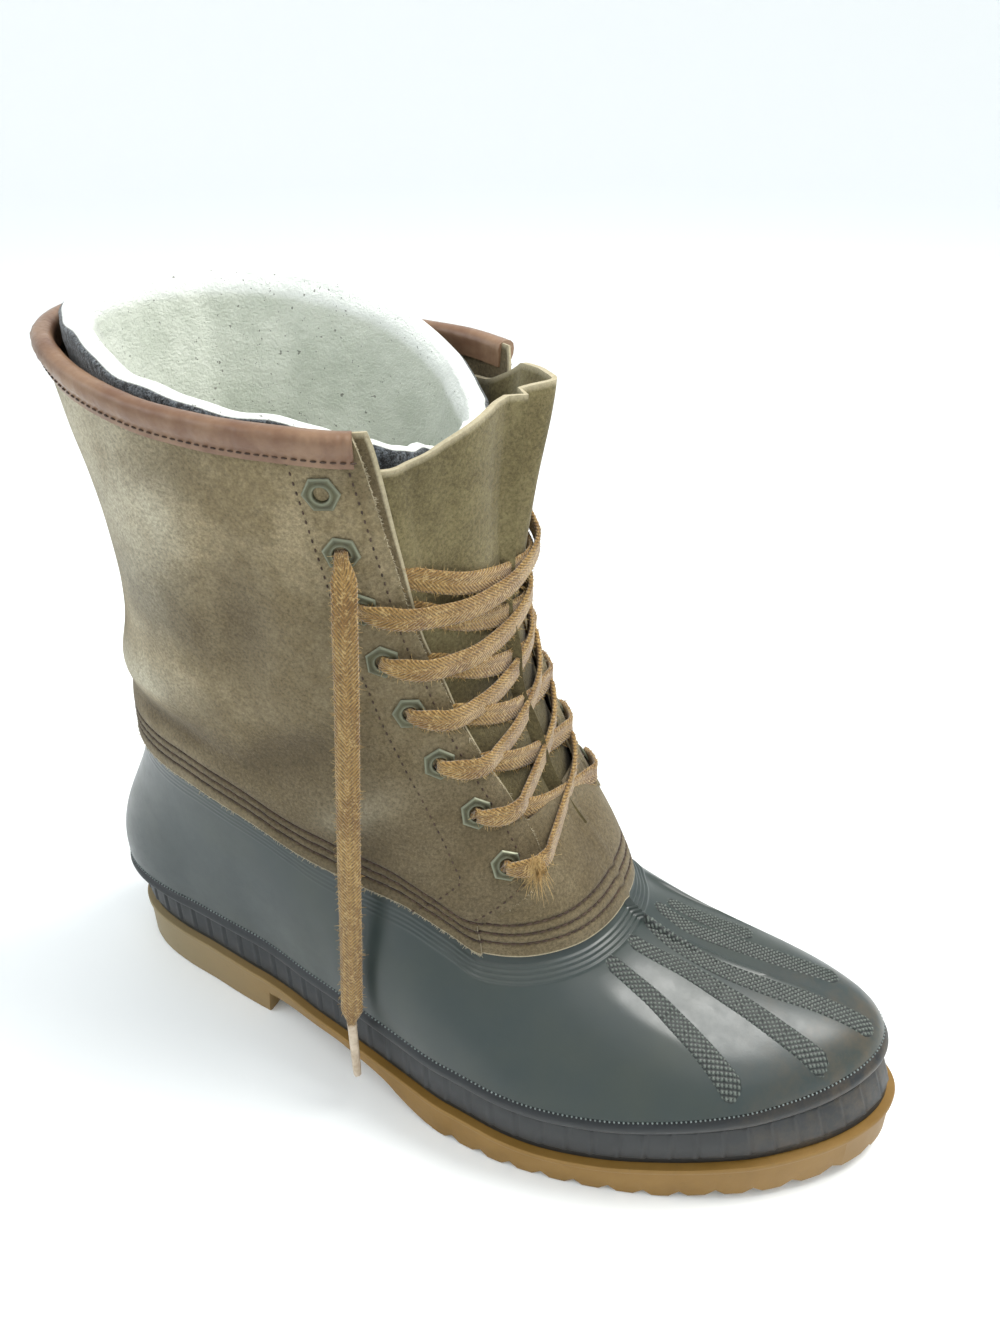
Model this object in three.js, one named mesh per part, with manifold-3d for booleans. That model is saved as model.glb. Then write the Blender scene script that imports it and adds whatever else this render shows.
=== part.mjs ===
// A lace-up pac boot for the right foot: a moulded rubber foot on a gum sole, a suede leg with a bellows
// tongue, and a thick felt liner that stands above the collar. X runs to the toe, the outer side of the
// foot is -Y and Z is up. The origin is on the floor under the middle of the heel.
import * as THREE from "three";
import { mergeVertices } from "three/addons/utils/BufferGeometryUtils.js";
import Module from "manifold-3d";

const wasm = await Module();
wasm.setup();

// Driving sizes, in millimetres
const soleLength = 329;
const ballWidth = 120;
const heelWidth = 72;
const heelHeight = 21;
const heelLength = 85;
const heelRest = 43;
const toeSwing = 6;
const toeSpring = 6;
const archRise = 13;
const lugPitch = 12;
const lugDepth = 2.4;
const gumLip = 0.9;
const lipHeight = 2.6;
const fit = 0.3;
const seat = 0.7;

const randInset = 1.6;
const randRise = 26;
const ribBottom = 3.3;
const ribTop = 17.4;
const ribPitch = 9.3;
const ribNotch = 1.3;
const grooveTop = 18.8;
const grooveDepth = 1.2;
const beadOut = 1.4;
const heelBeadOut = 3.6;
const toeLean = 9;
const randWall = 5;
const trayFloor = 3;

const rubberWall = 2.6;
const rubberBulge = 2.4;
const heelTopHeight = 120;
const vampTopHeight = 85;
const toeBoxRise = 17;
const toeBoxRun = 32;
const toeBoxIn = 6;
const flankIn = 19;
const flankShare = 0.35;
const vampSlope = 1.37;
const lapHeight = 12;

const leatherWall = 2.2;
const legHeight = 268;
const legDepth = 155;
const legWidth = 121;
const legSetback = 22.6;
const collarRise = 10;
const plugStep = 0.8;
const plugWall = 1.1;
const plugTop = 128;
const plugLap = 6;

const bindingWall = 1.1;
const bindingDrop = 9;
const bindingInsideDrop = 7;
const bindingRoll = 1.8;
const bindingGap = 0.5;

const tongueWall = 1.8;
const tongueGap = 2.1;
const tongueHeight = 267;
const tongueBase = 114;
const tongueFold = 16;
const tongueLap = 13;
const tongueDip = 14;

const linerWall = 8;
const linerGap = 6.8;
const linerRise = 16;
const linerClear = 5;

const insoleThick = 4;

const eyeletCount = 8;
const eyeletDrop = 19.5;
const eyeletAboveVamp = 32;
const eyeletSetback = 13.5;
const eyeletFlange = 5.6;
const eyeletBarrel = 3.4;
const eyeletHole = 2.5;
const eyeletThick = 1.1;
const eyeletSeat = 0.8;

const laceWidth = 8.5;
const laceThick = 2.2;
const laceLift = 2.2;
const agletLength = 28;
const agletRadius = 1.7;

const backstayWidth = 24;
const backstayTop = 196;
const backstayWall = 1.3;

// The sole's outline: how far each side stands from the middle, as a share of half the width there,
// on top of an ellipse's own roundness.
const outlineTable = [
  { at: 0, lateral: 1.85, medial: 1.85 },
  { at: 0.05, lateral: 1.6, medial: 1.65 },
  { at: 0.11, lateral: 1.409, medial: 1.422 },
  { at: 0.17, lateral: 1.301, medial: 1.276 },
  { at: 0.25, lateral: 1.275, medial: 1.154 },
  { at: 0.33, lateral: 1.22, medial: 0.977 },
  { at: 0.4, lateral: 1.114, medial: 0.829 },
  { at: 0.49, lateral: 1.041, medial: 0.749 },
  { at: 0.55, lateral: 1.074, medial: 0.771 },
  { at: 0.62, lateral: 1.138, medial: 0.826 },
  { at: 0.7, lateral: 1.17, medial: 0.87 },
  { at: 0.8, lateral: 1.186, medial: 0.875 },
  { at: 0.87, lateral: 1.193, medial: 0.849 },
  { at: 0.93, lateral: 1.14, medial: 0.84 },
  { at: 1, lateral: 1.06, medial: 0.92 },
];

// The gum sole's top edge from heel to toe, as a share of the heel's height.
const gumTopTable = [
  { at: 0, height: 1 },
  { at: 0.2, height: 1 },
  { at: 0.3, height: 0.94 },
  { at: 0.42, height: 0.95 },
  { at: 0.5, height: 0.86 },
  { at: 0.58, height: 0.75 },
  { at: 0.66, height: 0.63 },
  { at: 0.72, height: 0.66 },
  { at: 0.79, height: 0.78 },
  { at: 0.87, height: 0.91 },
  { at: 0.94, height: 0.98 },
  { at: 1, height: 1.15 },
];

// The sole's underside in front of the heel: arch as a share of its rise, toe as a share of the spring.
const treadTable = [
  { at: 0.26, arch: 0.85, toe: 0 },
  { at: 0.31, arch: 0.93, toe: 0 },
  { at: 0.37, arch: 1, toe: 0 },
  { at: 0.42, arch: 0.93, toe: 0 },
  { at: 0.455, arch: 0.75, toe: 0 },
  { at: 0.48, arch: 0.4, toe: 0 },
  { at: 0.51, arch: 0.12, toe: 0 },
  { at: 0.54, arch: 0, toe: 0 },
  { at: 0.78, arch: 0, toe: 0 },
  { at: 0.85, arch: 0, toe: 0.4 },
  { at: 0.91, arch: 0, toe: 0.5 },
  { at: 1, arch: 0, toe: 1 },
];

// Level sections of the leg. at is a share of legHeight, back and front are shares of legDepth from the
// collar's back, lateral and medial are half widths as shares of legWidth, and round and square are how
// boxy the back and the front are, 2 being an ellipse.
const legTable = [
  { at: 0.26, back: -0.095, front: 1.335, lateral: 0.46, medial: 0.42, round: 2.1, square: 2.4 },
  { at: 0.32, back: -0.08, front: 1.312, lateral: 0.44, medial: 0.405, round: 2.1, square: 2.5 },
  { at: 0.37, back: -0.061, front: 1.267, lateral: 0.426, medial: 0.4, round: 2.1, square: 2.7 },
  { at: 0.407, back: -0.037, front: 1.222, lateral: 0.417, medial: 0.395, round: 2.1, square: 2.9 },
  { at: 0.444, back: -0.026, front: 1.17, lateral: 0.41, medial: 0.39, round: 2.1, square: 3.1 },
  { at: 0.478, back: -0.021, front: 1.138, lateral: 0.407, medial: 0.39, round: 2.1, square: 3.1 },
  { at: 0.522, back: -0.014, front: 1.1, lateral: 0.405, medial: 0.39, round: 2.1, square: 3 },
  { at: 0.578, back: -0.002, front: 1.067, lateral: 0.41, medial: 0.398, round: 2.1, square: 2.9 },
  { at: 0.634, back: 0.017, front: 1.035, lateral: 0.42, medial: 0.405, round: 2.1, square: 2.8 },
  { at: 0.69, back: 0.035, front: 1.015, lateral: 0.43, medial: 0.417, round: 2.1, square: 2.7 },
  { at: 0.746, back: 0.045, front: 0.996, lateral: 0.443, medial: 0.432, round: 2.1, square: 2.7 },
  { at: 0.813, back: 0.039, front: 0.988, lateral: 0.457, medial: 0.448, round: 2.1, square: 2.8 },
  { at: 0.877, back: 0.027, front: 0.983, lateral: 0.471, medial: 0.465, round: 2.1, square: 2.9 },
  { at: 1, back: 0, front: 0.996, lateral: 0.5, medial: 0.5, round: 2.1, square: 3 },
  { at: 1.06, back: -0.015, front: 1, lateral: 0.515, medial: 0.515, round: 2.1, square: 3 },
];

// Where the rubber ends and the suede begins, from the back to the front of the leg: 1 is the height at
// the back of the heel and 0 is the height over the vamp.
const topLineTable = [
  { at: 0, height: 1 },
  { at: 0.25, height: 1 },
  { at: 0.37, height: 0.91 },
  { at: 0.43, height: 0.83 },
  { at: 0.53, height: 0.62 },
  { at: 0.63, height: 0.49 },
  { at: 0.71, height: 0.38 },
  { at: 0.77, height: 0.16 },
  { at: 0.82, height: -0.07 },
  { at: 0.88, height: -0.11 },
  { at: 0.95, height: -0.07 },
  { at: 1, height: 0 },
];

// Which part of the top line each part of the sole's outline rises to.
const fanTable = [
  { at: 0, to: 0 },
  { at: 0.15, to: 0.19 },
  { at: 0.35, to: 0.46 },
  { at: 0.6, to: 0.79 },
  { at: 0.8, to: 0.935 },
  { at: 1, to: 1 },
];

// The leg's front opening: how far forward each quarter reaches, by share of legHeight.
const quarterTable = [
  { at: 0.3, reach: 0.82 },
  { at: 0.35, reach: 0.828 },
  { at: 0.365, reach: 0.865 },
  { at: 0.4, reach: 0.94 },
  { at: 0.42, reach: 0.975 },
  { at: 0.459, reach: 0.982 },
  { at: 0.515, reach: 0.976 },
  { at: 0.565, reach: 0.962 },
  { at: 0.644, reach: 0.943 },
  { at: 0.75, reach: 0.916 },
  { at: 0.868, reach: 0.898 },
  { at: 0.963, reach: 0.872 },
  { at: 1.02, reach: 0.845 },
];

// The collar's line above legHeight as a share of collarRise, from back to front.
const collarTable = [
  { at: 0, rise: 1 },
  { at: 0.15, rise: 0.85 },
  { at: 0.25, rise: 0.5 },
  { at: 0.36, rise: 0.2 },
  { at: 0.47, rise: -0.05 },
  { at: 0.61, rise: -0.2 },
  { at: 0.74, rise: -0.25 },
  { at: 0.85, rise: -0.35 },
  { at: 1, rise: -0.4 },
];

// The liner's rim above legHeight as a share of linerRise, from back to front.
const rimTable = [
  { at: 0, lateral: 1, medial: 1 },
  { at: 0.2, lateral: 0.65, medial: 0.92 },
  { at: 0.4, lateral: 0.15, medial: 0.72 },
  { at: 0.6, lateral: -0.2, medial: 0.35 },
  { at: 0.8, lateral: -0.45, medial: -0.35 },
  { at: 1, lateral: -1.2, medial: -1.2 },
];

// The tongue from the outer quarter to the inner one: out is how far each point stands forward of the
// leg's own section, as a share of tongueFold.
const tongueTable = [
  { at: 0, out: 0 },
  { at: 0.22, out: 0 },
  { at: 0.3, out: 0.2 },
  { at: 0.4, out: 0.32 },
  { at: 0.47, out: 0.3 },
  { at: 0.5, out: 0.42 },
  { at: 0.55, out: 1 },
  { at: 0.6, out: 0.75 },
  { at: 0.7, out: 0.1 },
  { at: 0.78, out: 0 },
  { at: 1, out: 0 },
];

const suede = new THREE.MeshStandardMaterial({ color: 0x8a7a5e, roughness: 0.95 });
const rubber = new THREE.MeshStandardMaterial({ color: 0x3b3f3e, roughness: 0.45 });
const gum = new THREE.MeshStandardMaterial({ color: 0xb58a4a, roughness: 0.6 });
const felt = new THREE.MeshStandardMaterial({ color: 0xe9ebe4, roughness: 1 });
const bindingLeather = new THREE.MeshStandardMaterial({ color: 0x85563f, roughness: 0.5 });
const eyeletMetal = new THREE.MeshStandardMaterial({ color: 0x7d7a5e, roughness: 0.4, metalness: 1 });
const laceCotton = new THREE.MeshStandardMaterial({ color: 0xa8763e, roughness: 1 });
const agletPlastic = new THREE.MeshStandardMaterial({ color: 0xc9b79c, roughness: 0.3 });

const smooth = (t) => {
  const c = Math.min(1, Math.max(0, t));
  return c * c * (3 - 2 * c);
};
const mix = (a, b, t) => a + (b - a) * t;
const steps = (count) => Array.from({ length: count + 1 }, (_, i) => i / count);

// A column of a table, read between its rows along a smooth curve that never overshoots them.
function read(table, column, at) {
  const last = table.length - 1;
  if (at <= table[0].at) return table[0][column];
  if (at >= table[last].at) return table[last][column];
  const rise = (k) => (table[k + 1][column] - table[k][column]) / (table[k + 1].at - table[k].at);
  const slope = (k) => {
    if (k === 0) return rise(0);
    if (k === last) return rise(last - 1);
    const [before, after] = [rise(k - 1), rise(k)];
    return before * after <= 0 ? 0 : (2 * before * after) / (before + after);
  };
  const i = table.findIndex((row) => row.at > at) - 1;
  const width = table[i + 1].at - table[i].at;
  const t = (at - table[i].at) / width;
  const start = table[i][column];
  const end = table[i + 1][column];
  return (
    start * (1 + 2 * t) * (1 - t) ** 2 +
    end * (3 - 2 * t) * t ** 2 +
    slope(i) * width * t * (1 - t) ** 2 -
    slope(i + 1) * width * t ** 2 * (1 - t)
  );
}

const halfWidth = (share) => mix(heelWidth, ballWidth, smooth((share - 0.25) / 0.3)) / 2;
const middleLine = (share) => toeSwing * smooth((share - 0.45) / 0.55);

// A point on the sole's outline in plan. turn runs from -0.5 at the toe along the outer side to 0 at the
// back of the heel and on along the inner side to 0.5; out moves the point outwards.
function outlinePoint(turn, out = 0) {
  const place = (at) => {
    const angle = 2 * Math.PI * at;
    const share = (1 - Math.cos(angle)) / 2;
    const width = halfWidth(share) * read(outlineTable, at < 0 ? "lateral" : "medial", share);
    return new THREE.Vector2(soleLength * share, middleLine(share) + width * Math.sin(angle));
  };
  const point = place(turn);
  const nudge = 0.004;
  const ahead = place(turn + nudge).sub(place(turn - nudge)).normalize();
  return point.add(new THREE.Vector2(-ahead.y, ahead.x).multiplyScalar(out));
}

// The same outline drawn in towards its own middle line, for what lies deep inside the boot.
function footprintPoint(turn, inset) {
  const point = outlinePoint(turn);
  const share = shareOf(turn);
  const middle = middleLine(share);
  const narrow = 1 - inset / halfWidth(share);
  return new THREE.Vector2(mix(inset, soleLength - inset, share), middle + (point.y - middle) * narrow);
}

const gumTop = (x) => heelHeight * read(gumTopTable, "height", x / soleLength);
const treadHeight = (x) =>
  archRise * read(treadTable, "arch", x / soleLength) + toeSpring * read(treadTable, "toe", x / soleLength);

// The toe leans back as it rises from the gum's top edge to the top of the rand.
function leanBack(point) {
  const rise = Math.max(0, point.z - gumTop(point.x)) / randRise;
  const ahead = smooth((point.x / soleLength - 0.72) / 0.28);
  return new THREE.Vector3(point.x - toeLean * ahead * rise, point.y, point.z);
}

// The leg's level section at a height.
function legSection(height) {
  const at = height / legHeight;
  const depth = (column) => legSetback + legDepth * read(legTable, column, at);
  const width = (column) => legWidth * read(legTable, column, at);
  return {
    back: depth("back"),
    front: depth("front"),
    lateral: width("lateral"),
    medial: width("medial"),
    round: read(legTable, "round", at),
    square: read(legTable, "square", at),
  };
}

// A point of a level section; turn is counted as on the sole's outline.
function sectionPoint(section, height, turn) {
  const angle = 2 * Math.PI * Math.abs(turn);
  const reach = Math.cos(angle);
  const power = 2 / (reach > 0 ? section.round : section.square);
  const middle = (section.back + section.front) / 2;
  const half = (section.front - section.back) / 2;
  const x = middle - half * Math.sign(reach) * Math.abs(reach) ** power;
  const width = turn < 0 ? -section.lateral : section.medial;
  return new THREE.Vector3(x, width * Math.abs(Math.sin(angle)) ** power, height);
}

// The turn at which a section reaches a share of the way from back to front.
function turnAt(section, share) {
  const across = 1 - 2 * share;
  const power = (across > 0 ? section.round : section.square) / 2;
  return Math.acos(Math.sign(across) * Math.abs(across) ** power) / (2 * Math.PI);
}

// The share of the way from back to front at a turn, which undoes turnAt.
function shareAt(section, turn) {
  const reach = Math.cos(2 * Math.PI * turn);
  const power = 2 / (reach > 0 ? section.round : section.square);
  return (1 - Math.sign(reach) * Math.abs(reach) ** power) / 2;
}

// A surface's point moved inwards along its own normal.
function insetPoint(surface, height, turn, inset) {
  const nudge = 0.004;
  const along = surface(height, turn + nudge).sub(surface(height, turn - nudge));
  const up = surface(height + 1, turn).sub(surface(height - 1, turn));
  const inward = along.cross(up).normalize();
  return surface(height, turn).addScaledVector(inward, inset);
}

const legSurface = (height, turn) => sectionPoint(legSection(height), height, turn);
const legPoint = (height, turn, inset = 0) => insetPoint(legSurface, height, turn, inset);

const topLine = (share) =>
  mix(vampTopHeight, heelTopHeight, read(topLineTable, "height", share));
const collarHeight = (share) => legHeight + collarRise * read(collarTable, "rise", share);
const ledgeOut = (share) =>
  mix(heelBeadOut, beadOut, smooth(share / 0.3));
const shareOf = (turn) => (1 - Math.cos(2 * Math.PI * turn)) / 2;

// The rubber foot: each rib rises from the sole's edge and closes over to the top line. Its inner flank
// falls away more steeply than its outer one beside the ball of the foot.
function ribPoint(turn, up, inset = 0) {
  const surface = (at, around) => {
    const side = around < 0 ? -1 : 1;
    const along = shareOf(around);
    const share = read(fanTable, "to", along);
    const edge = ledgeOut(along) - 0.7;
    const foot = outlinePoint(around, edge);
    const outward = outlinePoint(around, edge + 1).sub(foot);
    const start = leanBack(new THREE.Vector3(foot.x, foot.y, gumTop(foot.x) + randRise + seat));
    const top = topLine(share);
    const turnTop = side * turnAt(legSection(top), share);
    const end = legPoint(top, turnTop, leatherWall + seat);
    const rise = legPoint(top + 3, turnTop).sub(legPoint(top - 3, turnTop)).normalize();
    const ahead = smooth((share - 0.55) / 0.42);
    const inward = new THREE.Vector3(-outward.x, -outward.y, vampSlope).normalize();
    rise.lerp(inward, ahead).normalize();
    const span = start.distanceTo(end);
    const slack = smooth((along - 0.48) / 0.2) * (1 - smooth((along - 0.85) / 0.1));
    const flank = slack * (side < 0 ? flankShare : 1);
    const lift = mix(span * 0.36, toeBoxRise, ahead);
    const run = mix(span * 0.34, toeBoxRun, ahead) * (1 - 0.6 * flank);
    const bulge = mix(mix(rubberBulge, -toeBoxIn, ahead), -flankIn, flank);
    const low = start.clone().add(new THREE.Vector3(outward.x * bulge, outward.y * bulge, lift));
    const high = end.clone().addScaledVector(rise, -run);
    return new THREE.CubicBezierCurve3(start, low, high, end).getPoint(Math.min(1, Math.max(0, at)));
  };
  if (!inset) return surface(up, turn);
  const nudge = 0.004;
  const along = surface(up, turn + nudge).sub(surface(up, turn - nudge));
  const risen = surface(up + nudge, turn).sub(surface(up - nudge, turn));
  const inward = along.cross(risen);
  if (up <= 0) inward.z = 0;
  return surface(up, turn).addScaledVector(inward.normalize(), inset);
}

// The solid between two grids of points, one each side of a wall. Rows run up the wall and points run
// round it from the toe along the outer side; a closed wall has no ends.
function wallBetween(outer, inner, closed) {
  const points = [];
  const faces = [];
  const index = (grid) => grid.map((row) => row.map((point) => points.push(point) - 1));
  const [outside, inside] = [index(outer), index(inner)];
  const quad = (a, b, c, d) => faces.push(a, b, c, a, c, d);
  const columns = outer[0].length;
  const pairs = closed ? columns : columns - 1;
  for (let i = 0; i < pairs; i++) {
    const next = (i + 1) % columns;
    for (let j = 0; j + 1 < outer.length; j++) {
      quad(outside[j][i], outside[j + 1][i], outside[j + 1][next], outside[j][next]);
      quad(inside[j][i], inside[j][next], inside[j + 1][next], inside[j + 1][i]);
    }
    const top = outer.length - 1;
    quad(outside[0][i], outside[0][next], inside[0][next], inside[0][i]);
    quad(outside[top][i], inside[top][i], inside[top][next], outside[top][next]);
  }
  for (let j = 0; !closed && j + 1 < outer.length; j++) {
    const end = columns - 1;
    quad(outside[j][0], inside[j][0], inside[j + 1][0], outside[j + 1][0]);
    quad(outside[j][end], outside[j + 1][end], inside[j + 1][end], inside[j][end]);
  }
  return geometryFrom(points, faces);
}

// The solid between two grids that are both closed below by a floor, such as a sock.
function sockBetween(outer, inner) {
  const points = [];
  const faces = [];
  const index = (grid) => grid.map((row) => row.map((point) => points.push(point) - 1));
  const [outside, inside] = [index(outer), index(inner)];
  const quad = (a, b, c, d) => faces.push(a, b, c, a, c, d);
  const columns = outer[0].length;
  const top = outer.length - 1;
  for (let i = 0; i < columns; i++) {
    const next = (i + 1) % columns;
    for (let j = 0; j < top; j++) {
      quad(outside[j][i], outside[j + 1][i], outside[j + 1][next], outside[j][next]);
      quad(inside[j][i], inside[j][next], inside[j + 1][next], inside[j + 1][i]);
    }
    quad(outside[top][i], inside[top][i], inside[top][next], outside[top][next]);
  }
  const mirror = (i) => (columns - i) % columns;
  for (let i = 0; i < columns / 2; i++) {
    for (const [grid, flip] of [[outside[0], false], [inside[0], true]]) {
      const corners = [grid[i], grid[i + 1], grid[mirror(i + 1)], grid[mirror(i)]];
      const loop = corners.filter((corner, k) => corner !== corners[(k + 3) % 4]);
      if (flip) loop.reverse();
      for (let k = 1; k + 1 < loop.length; k++) faces.push(loop[0], loop[k], loop[k + 1]);
    }
  }
  return geometryFrom(points, faces);
}

function geometryFrom(points, faces) {
  const geometry = new THREE.BufferGeometry().setFromPoints(points);
  geometry.setIndex(faces);
  geometry.computeVertexNormals();
  return geometry;
}

function solidOf(geometry) {
  const bare = geometry.clone();
  bare.deleteAttribute("normal");
  bare.deleteAttribute("uv");
  const merged = mergeVertices(bare, 1e-4);
  return new wasm.Manifold(
    new wasm.Mesh({
      numProp: 3,
      vertProperties: merged.attributes.position.array,
      triVerts: new Uint32Array(merged.index.array),
    }),
  );
}

function geometryOf(solid) {
  const mesh = solid.getMesh();
  const geometry = new THREE.BufferGeometry();
  geometry.setAttribute("position", new THREE.BufferAttribute(mesh.vertProperties, 3));
  geometry.setIndex(new THREE.BufferAttribute(mesh.triVerts, 1));
  geometry.computeVertexNormals();
  return geometry;
}

// A flat outline raised from one height to another.
function raised(outline, from, to) {
  const shape = new THREE.Shape(outline);
  const geometry = new THREE.ExtrudeGeometry(shape, { depth: to - from, bevelEnabled: false });
  return solidOf(geometry.translate(0, 0, from));
}

// A side view, in X and Z, carried across the full width.
function across(profile) {
  const shape = new THREE.Shape(profile.map(([x, z]) => new THREE.Vector2(x, z)));
  const width = ballWidth * 2;
  const geometry = new THREE.ExtrudeGeometry(shape, { depth: width, bevelEnabled: false });
  return solidOf(geometry.rotateX(Math.PI / 2).translate(0, width / 2, 0));
}

const outline = (out, count = 40) =>
  steps(count)
    .slice(0, count)
    .map((t) => outlinePoint(t - 0.5, out))
    .reverse();
const wholeLength = steps(18).map((t) => mix(-20, soleLength + 20, t));

// A band of the sole's side between two heights above the gum's top edge.
function sideBand(from, to) {
  const low = wholeLength.map((x) => [x, gumTop(x) + from]);
  const high = wholeLength.map((x) => [x, gumTop(x) + to]);
  return across([...low, ...high.reverse()]);
}

// The gum sole's underside: a plain heel block, an arch and a rippled tread.
function underside() {
  const line = [
    [-20, 0],
    [heelLength, 0],
    [heelLength + 1.5, treadHeight(heelLength + 2)],
  ];
  const archEnd = soleLength * 0.5;
  for (const t of steps(6)) {
    const x = mix(heelLength + 4, archEnd, t);
    line.push([x, treadHeight(x)]);
  }
  const lugs = Math.floor((soleLength - archEnd) / lugPitch);
  for (let i = 0; i < lugs; i++) {
    const x = archEnd + (i + 0.5) * lugPitch;
    line.push([x, treadHeight(x) + lugDepth]);
    line.push([x + lugPitch * 0.25, treadHeight(x)]);
    line.push([x + lugPitch * 0.72, treadHeight(x + lugPitch * 0.5)]);
  }
  line.push([soleLength + 20, treadHeight(soleLength) + lugDepth]);
  return line;
}

function outsole() {
  const top = (from) => wholeLength.map((x) => [x, gumTop(x) + from]).reverse();
  const body = raised(outline(-gumLip), -1, heelHeight * 2).intersect(across([...underside(), ...top(0)]));
  const lip = raised(outline(0), -1, heelHeight * 2).intersect(sideBand(-lipHeight, 0));
  return geometryOf(body.add(lip));
}

// The rand's outline, fluted with one upright rib after another.
function ribbedOutline() {
  const round = outline(-randInset, 120);
  const girth = round.reduce((sum, p, i) => sum + p.distanceTo(round[(i + 1) % round.length]), 0);
  const ribs = Math.round(girth / ribPitch);
  const turnOf = arcTurns(-randInset);
  const loop = [];
  for (let i = 0; i < ribs; i++) {
    loop.push(outlinePoint(turnOf((i + 0.2) / ribs), -randInset - ribNotch));
    loop.push(outlinePoint(turnOf((i + 0.55) / ribs), -randInset));
  }
  return loop.reverse();
}

// Turns of the outline at even steps of its length.
function arcTurns(out) {
  const turns = steps(240).map((t) => t - 0.5);
  const lengths = [0];
  for (let i = 1; i < turns.length; i++) {
    const step = outlinePoint(turns[i], out).distanceTo(outlinePoint(turns[i - 1], out));
    lengths.push(lengths[i - 1] + step);
  }
  const girth = lengths[lengths.length - 1];
  return (share) => {
    const goal = share * girth;
    const i = Math.max(1, lengths.findIndex((length) => length >= goal));
    return mix(turns[i - 1], turns[i], (goal - lengths[i - 1]) / (lengths[i] - lengths[i - 1]));
  };
}

// The dark rand: a tray under the foot whose side has a foot strip, ribs, a groove and a round bead.
function rand() {
  const bead = steps(40)
    .slice(0, 40)
    .map((t) => outlinePoint(t - 0.5, ledgeOut(shareOf(t - 0.5))))
    .reverse();
  const ceiling = heelHeight * 4;
  const strips = [
    raised(outline(-randInset - ribNotch), 0, ceiling).intersect(sideBand(fit, ribBottom)),
    raised(ribbedOutline(), 0, ceiling).intersect(sideBand(ribBottom - 0.4, ribTop)),
    raised(outline(-randInset - grooveDepth), 0, ceiling).intersect(sideBand(ribTop - 0.4, grooveTop)),
    raised(bead, 0, ceiling).intersect(sideBand(grooveTop - 0.4, randRise)),
  ];
  const hollow = raised(outline(-randInset - randWall, 32), 0, ceiling * 1.5);
  const inside = hollow.intersect(sideBand(trayFloor, randRise + 5));
  const geometry = geometryOf(strips.reduce((sum, strip) => sum.add(strip)).subtract(inside));
  const place = geometry.getAttribute("position");
  for (let i = 0; i < place.count; i++) {
    const point = leanBack(new THREE.Vector3().fromBufferAttribute(place, i));
    place.setXYZ(i, point.x, point.y, point.z);
  }
  return geometry;
}

const aroundFoot = steps(40).slice(0, 40).map((t) => t - 0.5);

// The rubber foot, with the thin flange that the suede is sewn to standing up inside it.
function rubberFoot() {
  const ribSteps = [0, 0.1, 0.24, 0.42, 0.6, 0.8, 1];
  const flange = (turn, up, inset) => {
    const share = read(fanTable, "to", shareOf(turn));
    const height = topLine(share) + lapHeight * up;
    const side = turn < 0 ? -1 : 1;
    return legPoint(height, side * turnAt(legSection(height), share), inset);
  };
  const outer = ribSteps.map((up) => aroundFoot.map((turn) => ribPoint(turn, up)));
  const inner = ribSteps.map((up) => aroundFoot.map((turn) => ribPoint(turn, up, rubberWall)));
  const flangeInset = leatherWall + seat;
  for (const up of [0.5, 1]) {
    outer.push(aroundFoot.map((turn) => flange(turn, up, flangeInset)));
    inner.push(aroundFoot.map((turn) => flange(turn, up, flangeInset + rubberWall)));
  }
  return wallBetween(outer, inner, true);
}

// Columns stand closer together where the leg turns at the back and the front.
const aroundLeg = steps(30).map((t) => mix(-1, 1, t));
const columnShare = (k) => (1 - Math.cos(Math.PI * Math.abs(k))) / 2;

// The height and turn of a point of the suede, up from the rubber to the collar.
function quarterPlace(k, up) {
  const side = k < 0 ? -1 : 1;
  let reach = 0.9;
  let height = legHeight;
  for (let pass = 0; pass < 4; pass++) {
    const share = reach * columnShare(k);
    height = mix(topLine(share) + fit, collarHeight(share), up);
    reach = read(quarterTable, "reach", height / legHeight);
  }
  const turn = side * turnAt(legSection(height), reach * columnShare(k));
  return { height, turn };
}

function quarters() {
  const up = [0, 0.08, 0.18, 0.3, 0.44, 0.6, 0.78, 0.94, 1];
  const sheet = (inset) =>
    up.map((u) =>
      aroundLeg.map((k) => {
        const { height, turn } = quarterPlace(k, u);
        return legPoint(height, turn, inset);
      }),
    );
  return solidOf(wallBetween(sheet(0), sheet(leatherWall), false));
}

// A sheet across the front of the leg, from one side of it to the other, between two heights. lap is how
// far it runs back behind the quarters' edges, and out how far a point stands forward of the leg.
function frontPoint(k, height, lap, inset, out = 0) {
  const section = legSection(height);
  const reach = read(quarterTable, "reach", height / legHeight);
  const wing = turnAt(section, reach - lap / legDepth);
  const side = k < 0 ? -1 : 1;
  const turn = side * mix(0.5, wing, Math.abs(k));
  return legPoint(height, turn, inset).add(new THREE.Vector3(out, 0, 0));
}

// The plug of suede over the vamp, under the quarters' front edges.
function plug() {
  const around = steps(18).map((t) => mix(1, -1, t));
  const place = (k, u, inset) => {
    let height = plugTop;
    for (let pass = 0; pass < 4; pass++) {
      const section = legSection(height);
      const reach = read(quarterTable, "reach", height / legHeight);
      const wing = turnAt(section, reach - plugLap / legDepth);
      const share = shareAt(section, mix(0.5, wing, Math.abs(k)));
      height = mix(topLine(share) + fit, plugTop, u);
    }
    return frontPoint(k, height, plugLap, inset);
  };
  const sheet = (inset) => steps(4).map((u) => around.map((k) => place(k, u, inset)));
  return solidOf(wallBetween(sheet(plugStep), sheet(plugStep + plugWall), false));
}

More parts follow.
